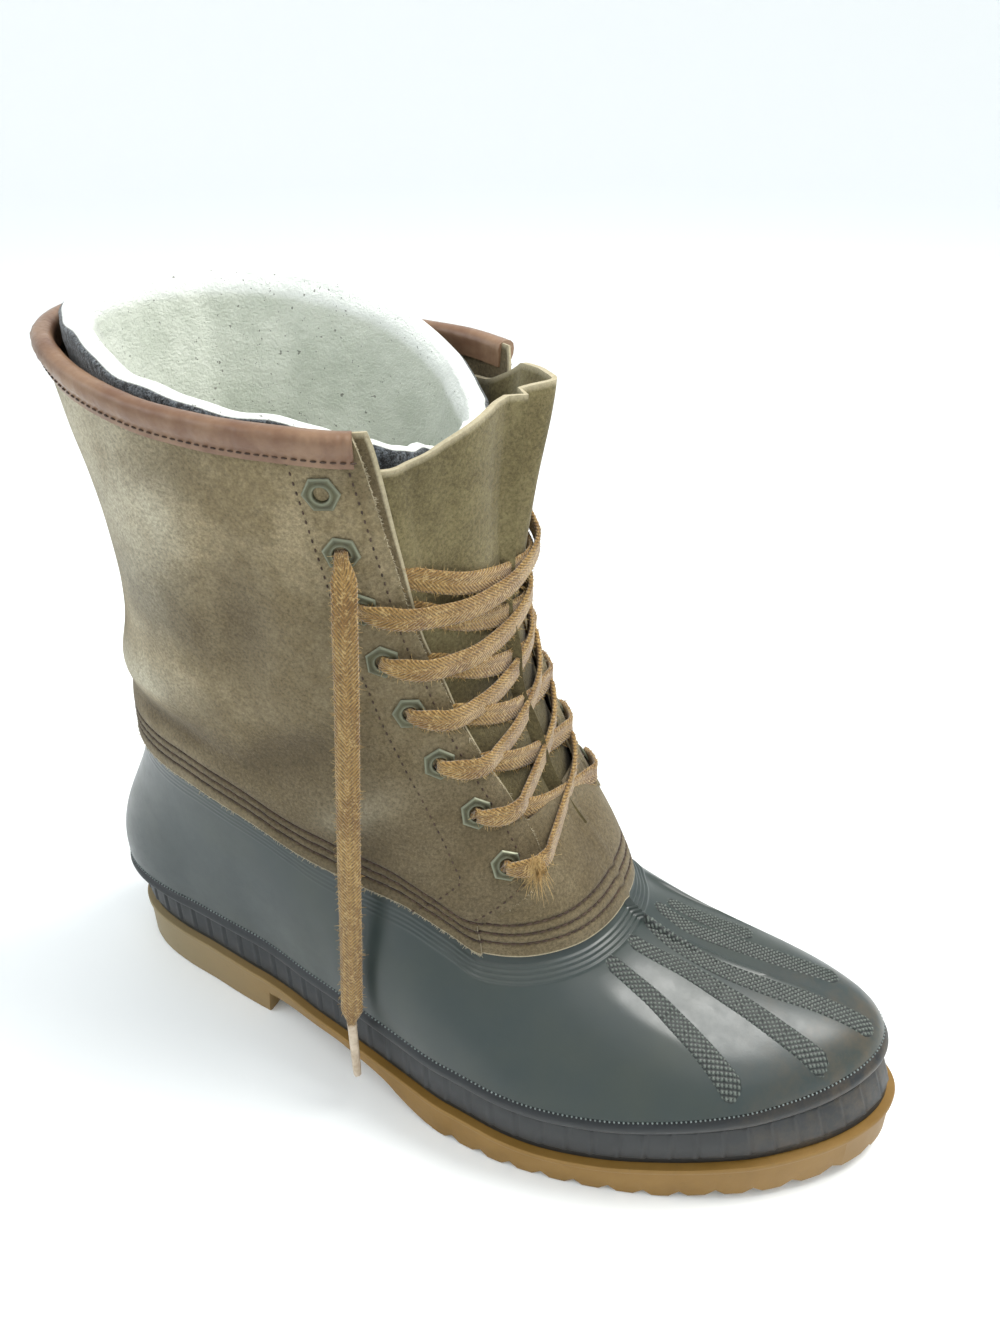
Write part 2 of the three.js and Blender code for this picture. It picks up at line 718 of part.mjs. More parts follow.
// Where each eyelet sits on a quarter, with the leg's outward direction there.
function eyeletPlace(index, side) {
  const height = mix(legHeight - eyeletDrop, vampTopHeight + eyeletAboveVamp, index / (eyeletCount - 1));
  const section = legSection(height);
  const edge = read(quarterTable, "reach", height / legHeight);
  const target = sectionPoint(section, height, side * turnAt(section, edge));
  let share = edge;
  while (sectionPoint(section, height, side * turnAt(section, share)).distanceTo(target) < eyeletSetback) {
    share -= 0.002;
  }
  const turn = side * turnAt(section, share);
  const point = legPoint(height, turn);
  const outward = point.clone().sub(legPoint(height, turn, 1)).normalize();
  return { side, height, point, outward };
}

// A shape whose own axis is Z, turned to stand on a surface.
function standOn(geometry, place, lift) {
  const turn = new THREE.Quaternion().setFromUnitVectors(new THREE.Vector3(0, 0, 1), place.outward);
  const at = place.point.clone().addScaledVector(place.outward, lift);
  return geometry.applyQuaternion(turn).translate(at.x, at.y, at.z);
}

function eyelet(place) {
  const profile = [
    [eyeletHole, -leatherWall],
    [eyeletBarrel, -leatherWall],
    [eyeletBarrel, 0],
    [eyeletFlange, 0],
    [eyeletHole, eyeletThick],
    [eyeletHole, -leatherWall],
  ].map(([r, z]) => new THREE.Vector2(r, z));
  return standOn(new THREE.LatheGeometry(profile, 6).rotateX(Math.PI / 2), place, eyeletSeat);
}

function suedeLeg(places) {
  let leg = quarters().add(plug());
  for (const place of places) {
    const drill = new THREE.CylinderGeometry(eyeletBarrel + fit, eyeletBarrel + fit, 16, 6);
    drill.rotateX(Math.PI / 2);
    leg = leg.subtract(solidOf(standOn(drill, place, 0)));
  }
  return geometryOf(leg);
}

// The folded leather strip round the collar: a channel over the suede's top edge.
function collarBinding() {
  const ring = (drop, inset) =>
    aroundLeg.map((k) => {
      const { height, turn } = quarterPlace(k, 1);
      const level = height - drop;
      return legPoint(level, turn, inset);
    });
  const skin = -bindingGap - bindingWall;
  const backing = leatherWall + bindingGap;
  const outer = [
    ring(bindingDrop, skin),
    ring(0, skin),
    ring(-bindingRoll, skin * 0.4),
    ring(-bindingRoll, backing),
    ring(bindingInsideDrop, backing + bindingWall),
  ];
  const inner = [
    ring(bindingDrop, -bindingGap),
    ring(0, -bindingGap),
    ring(-bindingGap, 0),
    ring(-bindingGap, leatherWall),
    ring(bindingInsideDrop, backing),
  ];
  return wallBetween(outer, inner, false);
}

// The strip sewn down the back seam.
function backstay() {
  const columns = steps(4).map((t) => mix(-0.5, 0.5, t));
  const rows = steps(4);
  const sheet = (inset) =>
    rows.map((u) =>
      columns.map((c) => {
        const height = mix(heelTopHeight + 2, backstayTop, u);
        const section = legSection(height);
        const girth = sectionPoint(section, height, 0.02).distanceTo(sectionPoint(section, height, 0));
        return legPoint(height, (c * backstayWidth * 0.02) / girth, inset);
      }),
    );
  return wallBetween(sheet(-seat - backstayWall), sheet(-seat), false);
}

// A point of the bellows tongue, which is folded forward out of the leg and fades into it below.
function tonguePoint(t, up, inset) {
  const fold = smooth((up - 0.25) / 0.75);
  const dip = tongueDip * fold * smooth((Math.abs(t - 0.52) - 0.06) / 0.4);
  const height = mix(tongueBase, tongueHeight, up) - dip;
  const place = (at) => {
    const out = tongueFold * fold * read(tongueTable, "out", at);
    return frontPoint(mix(-1, 1, at), height, tongueLap, leatherWall + tongueGap, out);
  };
  const ahead = place(Math.min(1, t + 0.01)).sub(place(Math.max(0, t - 0.01)));
  const inward = new THREE.Vector3(-ahead.y, ahead.x, 0).normalize();
  return place(t).addScaledVector(inward, inset);
}

function tongue() {
  const up = [0, 0.22, 0.48, 0.74, 1];
  const around = steps(24).reverse();
  const sheet = (inset) => up.map((u) => around.map((t) => tonguePoint(t, u, inset)));
  return wallBetween(sheet(0), sheet(tongueWall), false);
}

// A point of the rubber's surface moved in towards the middle of the foot.
function liningPoint(turn, up, inset) {
  const point = ribPoint(turn, up);
  const share = Math.min(0.82, Math.max(0.17, point.x / soleLength));
  const height = mix(heelTopHeight * 0.72, vampTopHeight * 0.48, smooth((share - 0.2) / 0.4));
  const spine = new THREE.Vector3(share * soleLength, middleLine(share), height);
  return point.addScaledVector(spine.sub(point).normalize(), inset);
}

// The liner stands clear inside the rubber and the leg; inset is counted from its own outer face.
function linerPoint(turn, up, inset) {
  const share = read(fanTable, "to", shareOf(turn));
  const side = turn < 0 ? -1 : 1;
  const foot = topLine(share) - 4;
  const own = (level) => {
    const section = legSection(level);
    return {
      back: section.back + linerGap,
      front: section.front - linerGap - 2,
      lateral: section.lateral - linerGap,
      medial: section.medial - linerGap,
      round: 2.1,
      square: mix(section.square, 2.2, smooth((level - heelTopHeight + 10) / 60)),
    };
  };
  const surface = (level, around) => sectionPoint(own(level), level, around);
  const legPart = (height) => insetPoint(surface, height, side * turnAt(own(height), share), inset);
  const rim = legHeight + linerRise * read(rimTable, side < 0 ? "lateral" : "medial", share);
  if (up > 0) return legPart(mix(foot, rim, up));
  const rise = 1 + up;
  const rib = liningPoint(turn, rise * 0.96, rubberWall + linerClear + inset);
  const top = liningPoint(turn, 0.96, rubberWall + linerClear + inset);
  return rib.add(legPart(foot).sub(top).multiplyScalar(rise ** 2));
}

const trayClear = randInset + randWall + 0.8;
const footLevel = (x, lift) => gumTop(x) + trayFloor + seat + lift;

function liner() {
  const around = steps(28).slice(0, 28).map((t) => t - 0.5);
  const row = (place) => (inset, lift) =>
    around.map((turn) => {
      const point = place(turn, inset);
      return leanBack(new THREE.Vector3(point.x, point.y, footLevel(point.x, lift)));
    });
  const wallRow = row((turn, inset) => outlinePoint(turn, -inset));
  const floorRow = row(footprintPoint);
  const above = randRise - trayFloor + 1.2;
  const levels = [-0.8, -0.55, -0.28, 0.001, 0.3, 0.65, 1];
  const outer = [
    floorRow(trayClear + 8, 0),
    wallRow(trayClear, 5),
    wallRow(trayClear, above),
    ...levels.map((up) => around.map((turn) => linerPoint(turn, up, 0))),
  ];
  const inner = [
    floorRow(trayClear + linerWall + 5, linerWall),
    floorRow(trayClear + linerWall, linerWall + 4),
    floorRow(trayClear + linerWall, above),
    ...levels.map((up) => around.map((turn) => linerPoint(turn, up, linerWall))),
  ];
  return sockBetween(outer, inner);
}

// The felt insole that lies on the liner's floor.
function insole() {
  const low = trayFloor + linerWall + 2 * seat;
  const edge = steps(40)
    .slice(0, 40)
    .map((t) => footprintPoint(t - 0.5, trayClear + linerWall + 9))
    .reverse();
  const sole = raised(edge, 0, heelHeight * 3);
  return geometryOf(sole.intersect(sideBand(low, low + insoleThick)));
}

// A flat lace along a route. faceOut gives the side of the lace that looks outwards at each point.
function flatLace(route, faceOut, count) {
  const curve = new THREE.CatmullRomCurve3(route, false, "centripetal");
  const rings = steps(count).map((t) => {
    const point = curve.getPointAt(t);
    const ahead = curve.getTangentAt(t);
    const out = faceOut(point).projectOnPlane(ahead).normalize();
    const beside = new THREE.Vector3().crossVectors(ahead, out);
    return [
      [-0.5, -0.1],
      [-0.4, 0.5],
      [0.4, 0.5],
      [0.5, -0.1],
    ].map(([w, h]) => point.clone().addScaledVector(beside, w * laceWidth).addScaledVector(out, h * laceThick));
  });
  const points = rings.flat();
  const faces = [];
  const sides = rings[0].length;
  for (let i = 0; i < count; i++) {
    for (let k = 0; k < sides; k++) {
      const [a, b] = [i * sides + k, i * sides + ((k + 1) % sides)];
      faces.push(a, b, b + sides, a, b + sides, a + sides);
    }
  }
  for (let k = 1; k + 1 < sides; k++) {
    const end = count * sides;
    faces.push(0, k + 1, k, end, end + k, end + k + 1);
  }
  return geometryFrom(points, faces);
}

// One bar of the lace, from over one eyelet, round the front of the tongue, to over another.
function laceBar(from, to) {
  const lift = eyeletSeat + eyeletThick + laceThick / 2 + laceLift;
  const over = (place, along) => {
    const height = mix(place.height, (from.height + to.height) / 2, along);
    const section = legSection(height);
    const edge = read(quarterTable, "reach", height / legHeight);
    return legPoint(height, place.side * turnAt(section, edge), -lift);
  };
  const middle = [0.36, 0.56, 0.7].map((t) => {
    const height = mix(from.height, to.height, from.side < 0 ? t : 1 - t);
    const up = (height - tongueBase) / (tongueHeight - tongueBase);
    const leg = frontPoint(mix(-1, 1, t), height, tongueLap, -lift);
    const fold = tonguePoint(t, up, -laceThick - 1.2);
    return fold.x > leg.x ? fold : leg;
  });
  if (from.side > 0) middle.reverse();
  const ends = [from, to].map((place) => place.point.clone().addScaledVector(place.outward, lift));
  const route = [ends[0], over(from, 0.35), ...middle, over(to, 0.35), ends[1]];
  const faceOut = (point) => new THREE.Vector3((point.x - legSetback - legDepth * 0.6) * 0.6, point.y, 0);
  return solidOf(flatLace(route, faceOut, 6));
}

// The whole lacing between the two rows of eyelets, one row crossing after another.
function lacing(outerRow, innerRow) {
  let laced = laceBar(outerRow[1], innerRow[2]).add(laceBar(innerRow[1], outerRow[2]));
  for (let i = 3; i < eyeletCount; i++) {
    laced = laced.add(laceBar(outerRow[i - 1], innerRow[i])).add(laceBar(innerRow[i - 1], outerRow[i]));
  }
  return geometryOf(laced);
}

// The free end of the lace, as it hangs from the second eyelet beside the boot. Chosen by hand.
const laceEndRoute = [
  [151.2, -57, 229],
  [153, -58.8, 221],
  [152.8, -59, 208],
  [152, -59.2, 193],
  [150.1, -59.6, 164],
  [147.7, -60.4, 127],
  [145.7, -62, 83],
  [144.1, -64, 47],
].map(([x, y, z]) => new THREE.Vector3(x, y, z));

function laceEnd() {
  return flatLace(laceEndRoute, () => new THREE.Vector3(0.4, -1, 0), 20);
}

function aglet() {
  const top = laceEndRoute[laceEndRoute.length - 1];
  const geometry = new THREE.CylinderGeometry(agletRadius, agletRadius * 0.9, agletLength, 8);
  geometry.rotateX(Math.PI / 2);
  return geometry.translate(top.x, top.y, top.z - fit - agletLength / 2);
}

const boot = new THREE.Group();
boot.position.x = -heelRest;

function addPiece(name, geometry, material) {
  const mesh = new THREE.Mesh(geometry, material);
  mesh.name = name;
  boot.add(mesh);
}

const sides = [
  ["outer", -1],
  ["inner", 1],
];
const eyelets = sides.map(([, side]) => Array.from({ length: eyeletCount }, (_, i) => eyeletPlace(i, side)));

addPiece("outsole", outsole(), gum);
addPiece("rand", rand(), rubber);
addPiece("rubber_foot", rubberFoot(), rubber);
addPiece("leather_upper", suedeLeg(eyelets.flat()), suede);
addPiece("backstay", backstay(), suede);
addPiece("collar_binding", collarBinding(), bindingLeather);
addPiece("tongue", tongue(), suede);
addPiece("felt_liner", liner(), felt);
addPiece("insole", insole(), felt);
sides.forEach(([word], s) => {
  eyelets[s].forEach((place, i) => addPiece(`eyelet_${word}_${i + 1}`, eyelet(place), eyeletMetal));
});
addPiece("lacing", lacing(...eyelets), laceCotton);
addPiece("lace_end", laceEnd(), laceCotton);
addPiece("aglet", aglet(), agletPlastic);

export default boot;
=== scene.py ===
# A lace-up pac boot for the right foot: rubber foot on a ribbed rand and gum sole, suede leg with a
# bellows tongue, felt liner and a flat cotton lace. Lengths in the tables and values are millimetres.
import math

import bmesh
import bpy
import numpy as np
from mathutils import Matrix, Vector
from mathutils.bvhtree import BVHTree


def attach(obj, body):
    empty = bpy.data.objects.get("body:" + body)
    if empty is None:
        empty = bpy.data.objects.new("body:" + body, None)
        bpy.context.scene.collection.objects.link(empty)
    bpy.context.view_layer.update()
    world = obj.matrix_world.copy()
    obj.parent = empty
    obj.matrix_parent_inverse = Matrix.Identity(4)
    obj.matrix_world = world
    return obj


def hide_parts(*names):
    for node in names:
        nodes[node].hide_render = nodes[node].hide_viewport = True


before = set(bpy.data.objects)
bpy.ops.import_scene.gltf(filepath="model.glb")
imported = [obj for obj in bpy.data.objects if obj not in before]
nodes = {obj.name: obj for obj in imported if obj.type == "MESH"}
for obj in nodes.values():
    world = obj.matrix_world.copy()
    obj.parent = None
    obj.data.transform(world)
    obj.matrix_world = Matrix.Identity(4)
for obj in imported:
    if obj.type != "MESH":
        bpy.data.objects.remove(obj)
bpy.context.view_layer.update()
mm = 0.001
print("frame loaded with", len(nodes), "nodes")

# Sizes of the boot, as they were built
sole = {
    "length": 329, "ball": 120, "heel": 72, "height": 21, "heelLength": 85, "heelRest": 43,
    "swing": 6, "spring": 6, "arch": 13, "lugPitch": 12, "lugDepth": 2.4, "lip": 0.9, "lipHeight": 2.6,
    "lean": 9,
}
rand = {
    "inset": 1.6, "rise": 26, "ribBottom": 3.3, "ribTop": 17.4, "ribPitch": 9.3, "ribNotch": 1.3,
    "grooveTop": 18.8, "grooveDepth": 1.2, "bead": 1.4, "heelBead": 3.6, "wall": 5,
}
rubber = {
    "wall": 2.6, "bulge": 2.4, "heelTop": 120, "vampTop": 85, "toeRise": 17, "toeRun": 32, "toeIn": 6,
    "flankIn": 19, "flankShare": 0.35, "slope": 1.37, "lap": 12, "seat": 0.7,
}
leg = {
    "height": 268, "depth": 155, "width": 121, "setback": 22.6, "rise": 10, "wall": 2.2, "fit": 0.3,
    "plugStep": 0.8, "plugWall": 1.1, "plugTop": 128, "plugLap": 6,
}
tongueSize = {"wall": 1.8, "gap": 2.1, "height": 267, "base": 114, "fold": 16, "lap": 13, "dip": 14}
linerSize = {"wall": 8, "gap": 6.8, "rise": 16, "clear": 5}
eyeletSize = {
    "count": 8, "top": 248.5, "bottom": 117, "setback": 13.5, "flange": 5.5, "hole": 2.45, "seat": 0.25,
}
lace = {"width": 7.8, "thick": 1.8, "aglet": 28, "agletRadius": 1.7}

# The same shapes as the solids: each table reads along "at"
outlineTable = {
    "at": [0, 0.05, 0.11, 0.17, 0.25, 0.33, 0.4, 0.49, 0.55, 0.62, 0.7, 0.8, 0.87, 0.93, 1],
    "lateral": [
        1.85, 1.6, 1.409, 1.301, 1.275, 1.22, 1.114, 1.041, 1.074, 1.138, 1.17, 1.186, 1.193, 1.14, 1.06,
    ],
    "medial": [
        1.85, 1.65, 1.422, 1.276, 1.154, 0.977, 0.829, 0.749, 0.771, 0.826, 0.87, 0.875, 0.849, 0.84, 0.92,
    ],
}
gumTopTable = {
    "at": [0, 0.2, 0.3, 0.42, 0.5, 0.58, 0.66, 0.72, 0.79, 0.87, 0.94, 1],
    "height": [1, 1, 0.94, 0.95, 0.86, 0.75, 0.63, 0.66, 0.78, 0.91, 0.98, 1.15],
}
treadTable = {
    "at": [0.26, 0.31, 0.37, 0.42, 0.455, 0.48, 0.51, 0.54, 0.78, 0.85, 0.91, 1],
    "arch": [0.85, 0.93, 1, 0.93, 0.75, 0.4, 0.12, 0, 0, 0, 0, 0],
    "toe": [0, 0, 0, 0, 0, 0, 0, 0, 0, 0.4, 0.5, 1],
}
legTable = {
    "at": [
        0.26, 0.32, 0.37, 0.407, 0.444, 0.478, 0.522, 0.578, 0.634, 0.69, 0.746, 0.813, 0.877, 1, 1.06,
    ],
    "back": [
        -0.095, -0.08, -0.061, -0.037, -0.026, -0.021, -0.014, -0.002, 0.017, 0.035, 0.045, 0.039, 0.027,
        0, -0.015,
    ],
    "front": [
        1.335, 1.312, 1.267, 1.222, 1.17, 1.138, 1.1, 1.067, 1.035, 1.015, 0.996, 0.988, 0.983, 0.996, 1,
    ],
    "lateral": [
        0.46, 0.44, 0.426, 0.417, 0.41, 0.407, 0.405, 0.41, 0.42, 0.43, 0.443, 0.457, 0.471, 0.5, 0.515,
    ],
    "medial": [
        0.42, 0.405, 0.4, 0.395, 0.39, 0.39, 0.39, 0.398, 0.405, 0.417, 0.432, 0.448, 0.465, 0.5, 0.515,
    ],
    "round": [2.1] * 15,
    "square": [2.4, 2.5, 2.7, 2.9, 3.1, 3.1, 3, 2.9, 2.8, 2.7, 2.7, 2.8, 2.9, 3, 3],
}
topLineTable = {
    "at": [0, 0.25, 0.37, 0.43, 0.53, 0.63, 0.71, 0.77, 0.82, 0.88, 0.95, 1],
    "height": [1, 1, 0.91, 0.83, 0.62, 0.49, 0.38, 0.16, -0.07, -0.11, -0.07, 0],
}
fanTable = {"at": [0, 0.15, 0.35, 0.6, 0.8, 1], "to": [0, 0.19, 0.46, 0.79, 0.935, 1]}
quarterTable = {
    "at": [0.3, 0.35, 0.365, 0.4, 0.42, 0.459, 0.515, 0.565, 0.644, 0.75, 0.868, 0.963, 1.02],
    "reach": [
        0.82, 0.828, 0.865, 0.94, 0.975, 0.982, 0.976, 0.962, 0.943, 0.916, 0.898, 0.872, 0.845,
    ],
}
collarTable = {
    "at": [0, 0.15, 0.25, 0.36, 0.47, 0.61, 0.74, 0.85, 1],
    "rise": [1, 0.85, 0.5, 0.2, -0.05, -0.2, -0.25, -0.35, -0.4],
}
rimTable = {
    "at": [0, 0.2, 0.4, 0.6, 0.8, 1],
    "lateral": [1, 0.65, 0.15, -0.2, -0.45, -1.2],
    "medial": [1, 0.92, 0.72, 0.35, -0.35, -1.2],
}
tongueTable = {
    "at": [0, 0.22, 0.3, 0.4, 0.47, 0.5, 0.55, 0.6, 0.7, 0.78, 1],
    "out": [0, 0, 0.2, 0.32, 0.3, 0.42, 1, 0.75, 0.1, 0, 0],
}


def smooth(t):
    c = np.clip(t, 0, 1)
    return c * c * (3 - 2 * c)


def mix(a, b, t):
    return a + (b - a) * t


def vec(x, y, z):
    return np.stack(np.broadcast_arrays(x, y, z), -1).astype(float)


def unit(v):
    return v / np.maximum(np.linalg.norm(v, axis=-1, keepdims=True), 1e-9)


# A column of a table along a smooth curve that never overshoots its rows
def read(table, column, at):
    xs = np.array(table["at"], float)
    ys = np.array(table[column], float)
    at = np.clip(at, xs[0], xs[-1])
    rise = np.diff(ys) / np.diff(xs)
    slope = np.zeros_like(ys)
    slope[0], slope[-1] = rise[0], rise[-1]
    product = rise[:-1] * rise[1:]
    total = np.where(np.abs(rise[:-1] + rise[1:]) < 1e-12, 1, rise[:-1] + rise[1:])
    slope[1:-1] = np.where(product > 0, 2 * product / total, 0)
    i = np.clip(np.searchsorted(xs, at, side="right") - 1, 0, len(xs) - 2)
    width = xs[i + 1] - xs[i]
    t = (at - xs[i]) / width
    start = ys[i] * (1 + 2 * t) * (1 - t) ** 2 + slope[i] * width * t * (1 - t) ** 2
    return start + ys[i + 1] * (3 - 2 * t) * t**2 - slope[i + 1] * width * t**2 * (1 - t)


def halfWidth(share):
    return mix(sole["heel"], sole["ball"], smooth((share - 0.25) / 0.3)) / 2


def middleLine(share):
    return sole["swing"] * smooth((share - 0.45) / 0.55)


def shareOf(turn):
    return (1 - np.cos(2 * np.pi * turn)) / 2


# Turn runs from -0.5 at the toe along the outer side to 0 at the heel and on to 0.5
def outlinePoint(turn, out=0.0):
    def place(at):
        angle = 2 * np.pi * at
        share = (1 - np.cos(angle)) / 2
        full = np.where(at < 0, read(outlineTable, "lateral", share), read(outlineTable, "medial", share))
        return np.stack(
            [sole["length"] * share, middleLine(share) + halfWidth(share) * full * np.sin(angle)], -1
        )

    turn = np.asarray(turn, float)
    nudge = 0.004
    ahead = unit(place(turn + nudge) - place(turn - nudge))
    normal = np.stack([-ahead[..., 1], ahead[..., 0]], -1)
    return place(turn) + normal * np.broadcast_to(out, turn.shape)[..., None]


def gumTop(x):
    return sole["height"] * read(gumTopTable, "height", x / sole["length"])


def treadHeight(x):
    along = x / sole["length"]
    return sole["arch"] * read(treadTable, "arch", along) + sole["spring"] * read(treadTable, "toe", along)


def leanBack(point):
    rise = np.maximum(0, point[..., 2] - gumTop(point[..., 0])) / rand["rise"]
    ahead = smooth((point[..., 0] / sole["length"] - 0.72) / 0.28)
    return vec(point[..., 0] - sole["lean"] * ahead * rise, point[..., 1], point[..., 2])


# A point of the outline lifted above the gum sole and leant back with the toe
def raised(point, rise):
    return leanBack(vec(point[..., 0], point[..., 1], gumTop(point[..., 0]) + rise))


def ledgeOut(share):
    return mix(rand["heelBead"], rand["bead"], smooth(share / 0.3))


def legSection(height):
    at = height / leg["height"]
    return {
        "back": leg["setback"] + leg["depth"] * read(legTable, "back", at),
        "front": leg["setback"] + leg["depth"] * read(legTable, "front", at),
        "lateral": leg["width"] * read(legTable, "lateral", at),
        "medial": leg["width"] * read(legTable, "medial", at),
        "round": read(legTable, "round", at),
        "square": read(legTable, "square", at),
    }


def sectionPoint(section, height, turn):
    angle = 2 * np.pi * np.abs(turn)
    reach = np.cos(angle)
    power = 2 / np.where(reach > 0, section["round"], section["square"])
    middle = (section["back"] + section["front"]) / 2
    half = (section["front"] - section["back"]) / 2
    x = middle - half * np.sign(reach) * np.abs(reach) ** power
    width = np.where(turn < 0, -section["lateral"], section["medial"])
    return vec(x, width * np.abs(np.sin(angle)) ** power, height)


def turnAt(section, share):
    across = 1 - 2 * share
    power = np.where(across > 0, section["round"], section["square"]) / 2
    return np.arccos(np.clip(np.sign(across) * np.abs(across) ** power, -1, 1)) / (2 * np.pi)


def shareAt(section, turn):
    reach = np.cos(2 * np.pi * turn)
    power = 2 / np.where(reach > 0, section["round"], section["square"])
    return (1 - np.sign(reach) * np.abs(reach) ** power) / 2


def insetPoint(surface, height, turn, inset):
    nudge = 0.004
    along = surface(height, turn + nudge) - surface(height, turn - nudge)
    up = surface(height + 1, turn) - surface(height - 1, turn)
    inward = unit(np.cross(along, up))
    return surface(height, turn) + inward * np.broadcast_to(inset, inward.shape[:-1])[..., None]


def legSurface(height, turn):
    return sectionPoint(legSection(height), height, turn)


def legPoint(height, turn, inset=0.0):
    return insetPoint(legSurface, height, turn, inset)


def topLine(share):
    return mix(rubber["vampTop"], rubber["heelTop"], read(topLineTable, "height", share))


def collarHeight(share):
    return leg["height"] + leg["rise"] * read(collarTable, "rise", share)


# How far round the leg the quarters reach at a height, as a share of the leg's depth
def edgeShare(height):
    return read(quarterTable, "reach", height / leg["height"])


# The turn of a place that lies so many millimetres behind the quarters' front edge
def edgeTurn(height, back):
    return turnAt(legSection(height), edgeShare(height) - back / leg["depth"])


# The rubber foot's surface, up from the rand at 0 to the suede at 1
def ribPoint(turn, up, inset=0.0):
    def surface(at, around):
        side = np.where(around < 0, -1, 1)
        along = shareOf(around)
        share = read(fanTable, "to", along)
        edge = ledgeOut(along) - 0.7
        foot = outlinePoint(around, edge)
        outward = outlinePoint(around, edge + 1) - foot
        start = raised(foot, rand["rise"] + rubber["seat"])
        top = topLine(share)
        turnTop = side * turnAt(legSection(top), share)
        end = legPoint(top, turnTop, leg["wall"] + rubber["seat"])
        rise = unit(legPoint(top + 3, turnTop) - legPoint(top - 3, turnTop))
        ahead = smooth((share - 0.55) / 0.42)
        inward = unit(vec(-outward[..., 0], -outward[..., 1], rubber["slope"]))
        rise = unit(mix(rise, inward, ahead[..., None]))
        span = np.linalg.norm(end - start, axis=-1)
        slack = smooth((along - 0.48) / 0.2) * (1 - smooth((along - 0.85) / 0.1))
        flank = slack * np.where(side < 0, rubber["flankShare"], 1)
        lift = mix(span * 0.36, rubber["toeRise"], ahead)
        run = mix(span * 0.34, rubber["toeRun"], ahead) * (1 - 0.6 * flank)
        bulge = mix(mix(rubber["bulge"], -rubber["toeIn"], ahead), -rubber["flankIn"], flank)
        low = start + vec(outward[..., 0] * bulge, outward[..., 1] * bulge, lift)
        high = end - rise * run[..., None]
        t = np.clip(at, 0, 1)[..., None]
        return (
            start * (1 - t) ** 3 + 3 * low * t * (1 - t) ** 2 + 3 * high * t**2 * (1 - t) + end * t**3
        )

    turn, up = np.broadcast_arrays(np.asarray(turn, float), np.asarray(up, float))
    nudge = 0.004
    along = surface(up, turn + nudge) - surface(up, turn - nudge)
    risen = surface(up + nudge, turn) - surface(up - nudge, turn)
    inward = np.cross(along, risen)
    inward[..., 2] = np.where(up <= 0, 0, inward[..., 2])
    return surface(up, turn) + unit(inward) * np.broadcast_to(inset, turn.shape)[..., None]


def columnShare(k):
    return (1 - np.cos(np.pi * np.abs(k))) / 2


# A place on the suede: k goes round the leg from one front edge to the other, low is in millimetres
# above the rubber, and up is the share of the rest of the way to the collar
def quarterPlace(k, low, up):
    side = np.where(k < 0, -1, 1)
    least = np.full(np.broadcast(k, low, up).shape, 0.8)
    most = least + 0.2
    for _ in range(16):
        reach = (least + most) / 2
        share = reach * columnShare(k)
        height = mix(topLine(share) + leg["fit"] + low, collarHeight(share), up)
        short = edgeShare(height) > reach
        least, most = np.where(short, reach, least), np.where(short, most, reach)
    turn = side * turnAt(legSection(height), share)
    return height, turn, share


# A place between the quarters' front edges: k goes from one edge over the ridge at 0 to the other, and
# lap is how far behind the edges it ends
def frontPoint(k, height, lap, inset, out=0.0):
    side = np.where(k < 0, -1, 1)
    turn = side * mix(0.5, edgeTurn(height, lap), np.abs(k))
    return legPoint(height, turn, inset) + vec(out, 0, 0)


def frontShare(k, height, lap):
    return shareAt(legSection(height), mix(0.5, edgeTurn(height, lap), np.abs(k)))


# The turn of a place on the leg's back, so many millimetres from its middle line
def backTurn(height, across):
    nudge = 0.02
    section = legSection(height)
    step = sectionPoint(section, height, nudge) - sectionPoint(section, height, 0.0)
    return across * nudge / np.linalg.norm(step, axis=-1)


def tonguePoint(t, up, inset):
    fold = smooth((up - 0.25) / 0.75)
    dip = tongueSize["dip"] * fold * np.maximum(smooth((0.57 - t) / 0.4), smooth((t - 0.6) / 0.38))
    height = mix(tongueSize["base"], tongueSize["height"], up) - dip

    def place(at):
        out = tongueSize["fold"] * fold * read(tongueTable, "out", at)
        return frontPoint(mix(-1, 1, at), height, tongueSize["lap"], leg["wall"] + tongueSize["gap"], out)

    ahead = place(np.minimum(1, t + 0.01)) - place(np.maximum(0, t - 0.01))
    inward = unit(vec(-ahead[..., 1], ahead[..., 0], 0))
    return place(t) + inward * np.broadcast_to(inset, inward.shape[:-1])[..., None]


def liningPoint(turn, up, inset):
    point = ribPoint(turn, up)
    share = np.clip(point[..., 0] / sole["length"], 0.17, 0.82)
    height = mix(rubber["heelTop"] * 0.72, rubber["vampTop"] * 0.48, smooth((share - 0.2) / 0.4))
    spine = vec(share * sole["length"], middleLine(share), height)
    return point + unit(spine - point) * np.broadcast_to(inset, share.shape)[..., None]


def linerPoint(turn, up, inset):
    share = read(fanTable, "to", shareOf(turn))
    side = np.where(turn < 0, -1, 1)
    foot = topLine(share) - 4

    def own(level):
        section = legSection(level)
        return {
            "back": section["back"] + linerSize["gap"],
            "front": section["front"] - linerSize["gap"] - 2,
            "lateral": section["lateral"] - linerSize["gap"],
            "medial": section["medial"] - linerSize["gap"],
            "round": 2.1,
            "square": mix(section["square"], 2.2, smooth((level - 110) / 60)),
        }

    def surface(level, around):
        return sectionPoint(own(level), level, around)

    def legPart(height):
        return insetPoint(surface, height, side * turnAt(own(height), share), inset)

    rim = leg["height"] + linerSize["rise"] * np.where(
        side < 0, read(rimTable, "lateral", share), read(rimTable, "medial", share)
    )
    if up > 0:
        return legPart(mix(foot, rim, up))
    rise = 1 + up
    depth = rubber["wall"] + linerSize["clear"] + inset
    rib = liningPoint(turn, rise * 0.96, depth)
    return rib + (legPart(foot) - liningPoint(turn, 0.96, depth)) * rise**2


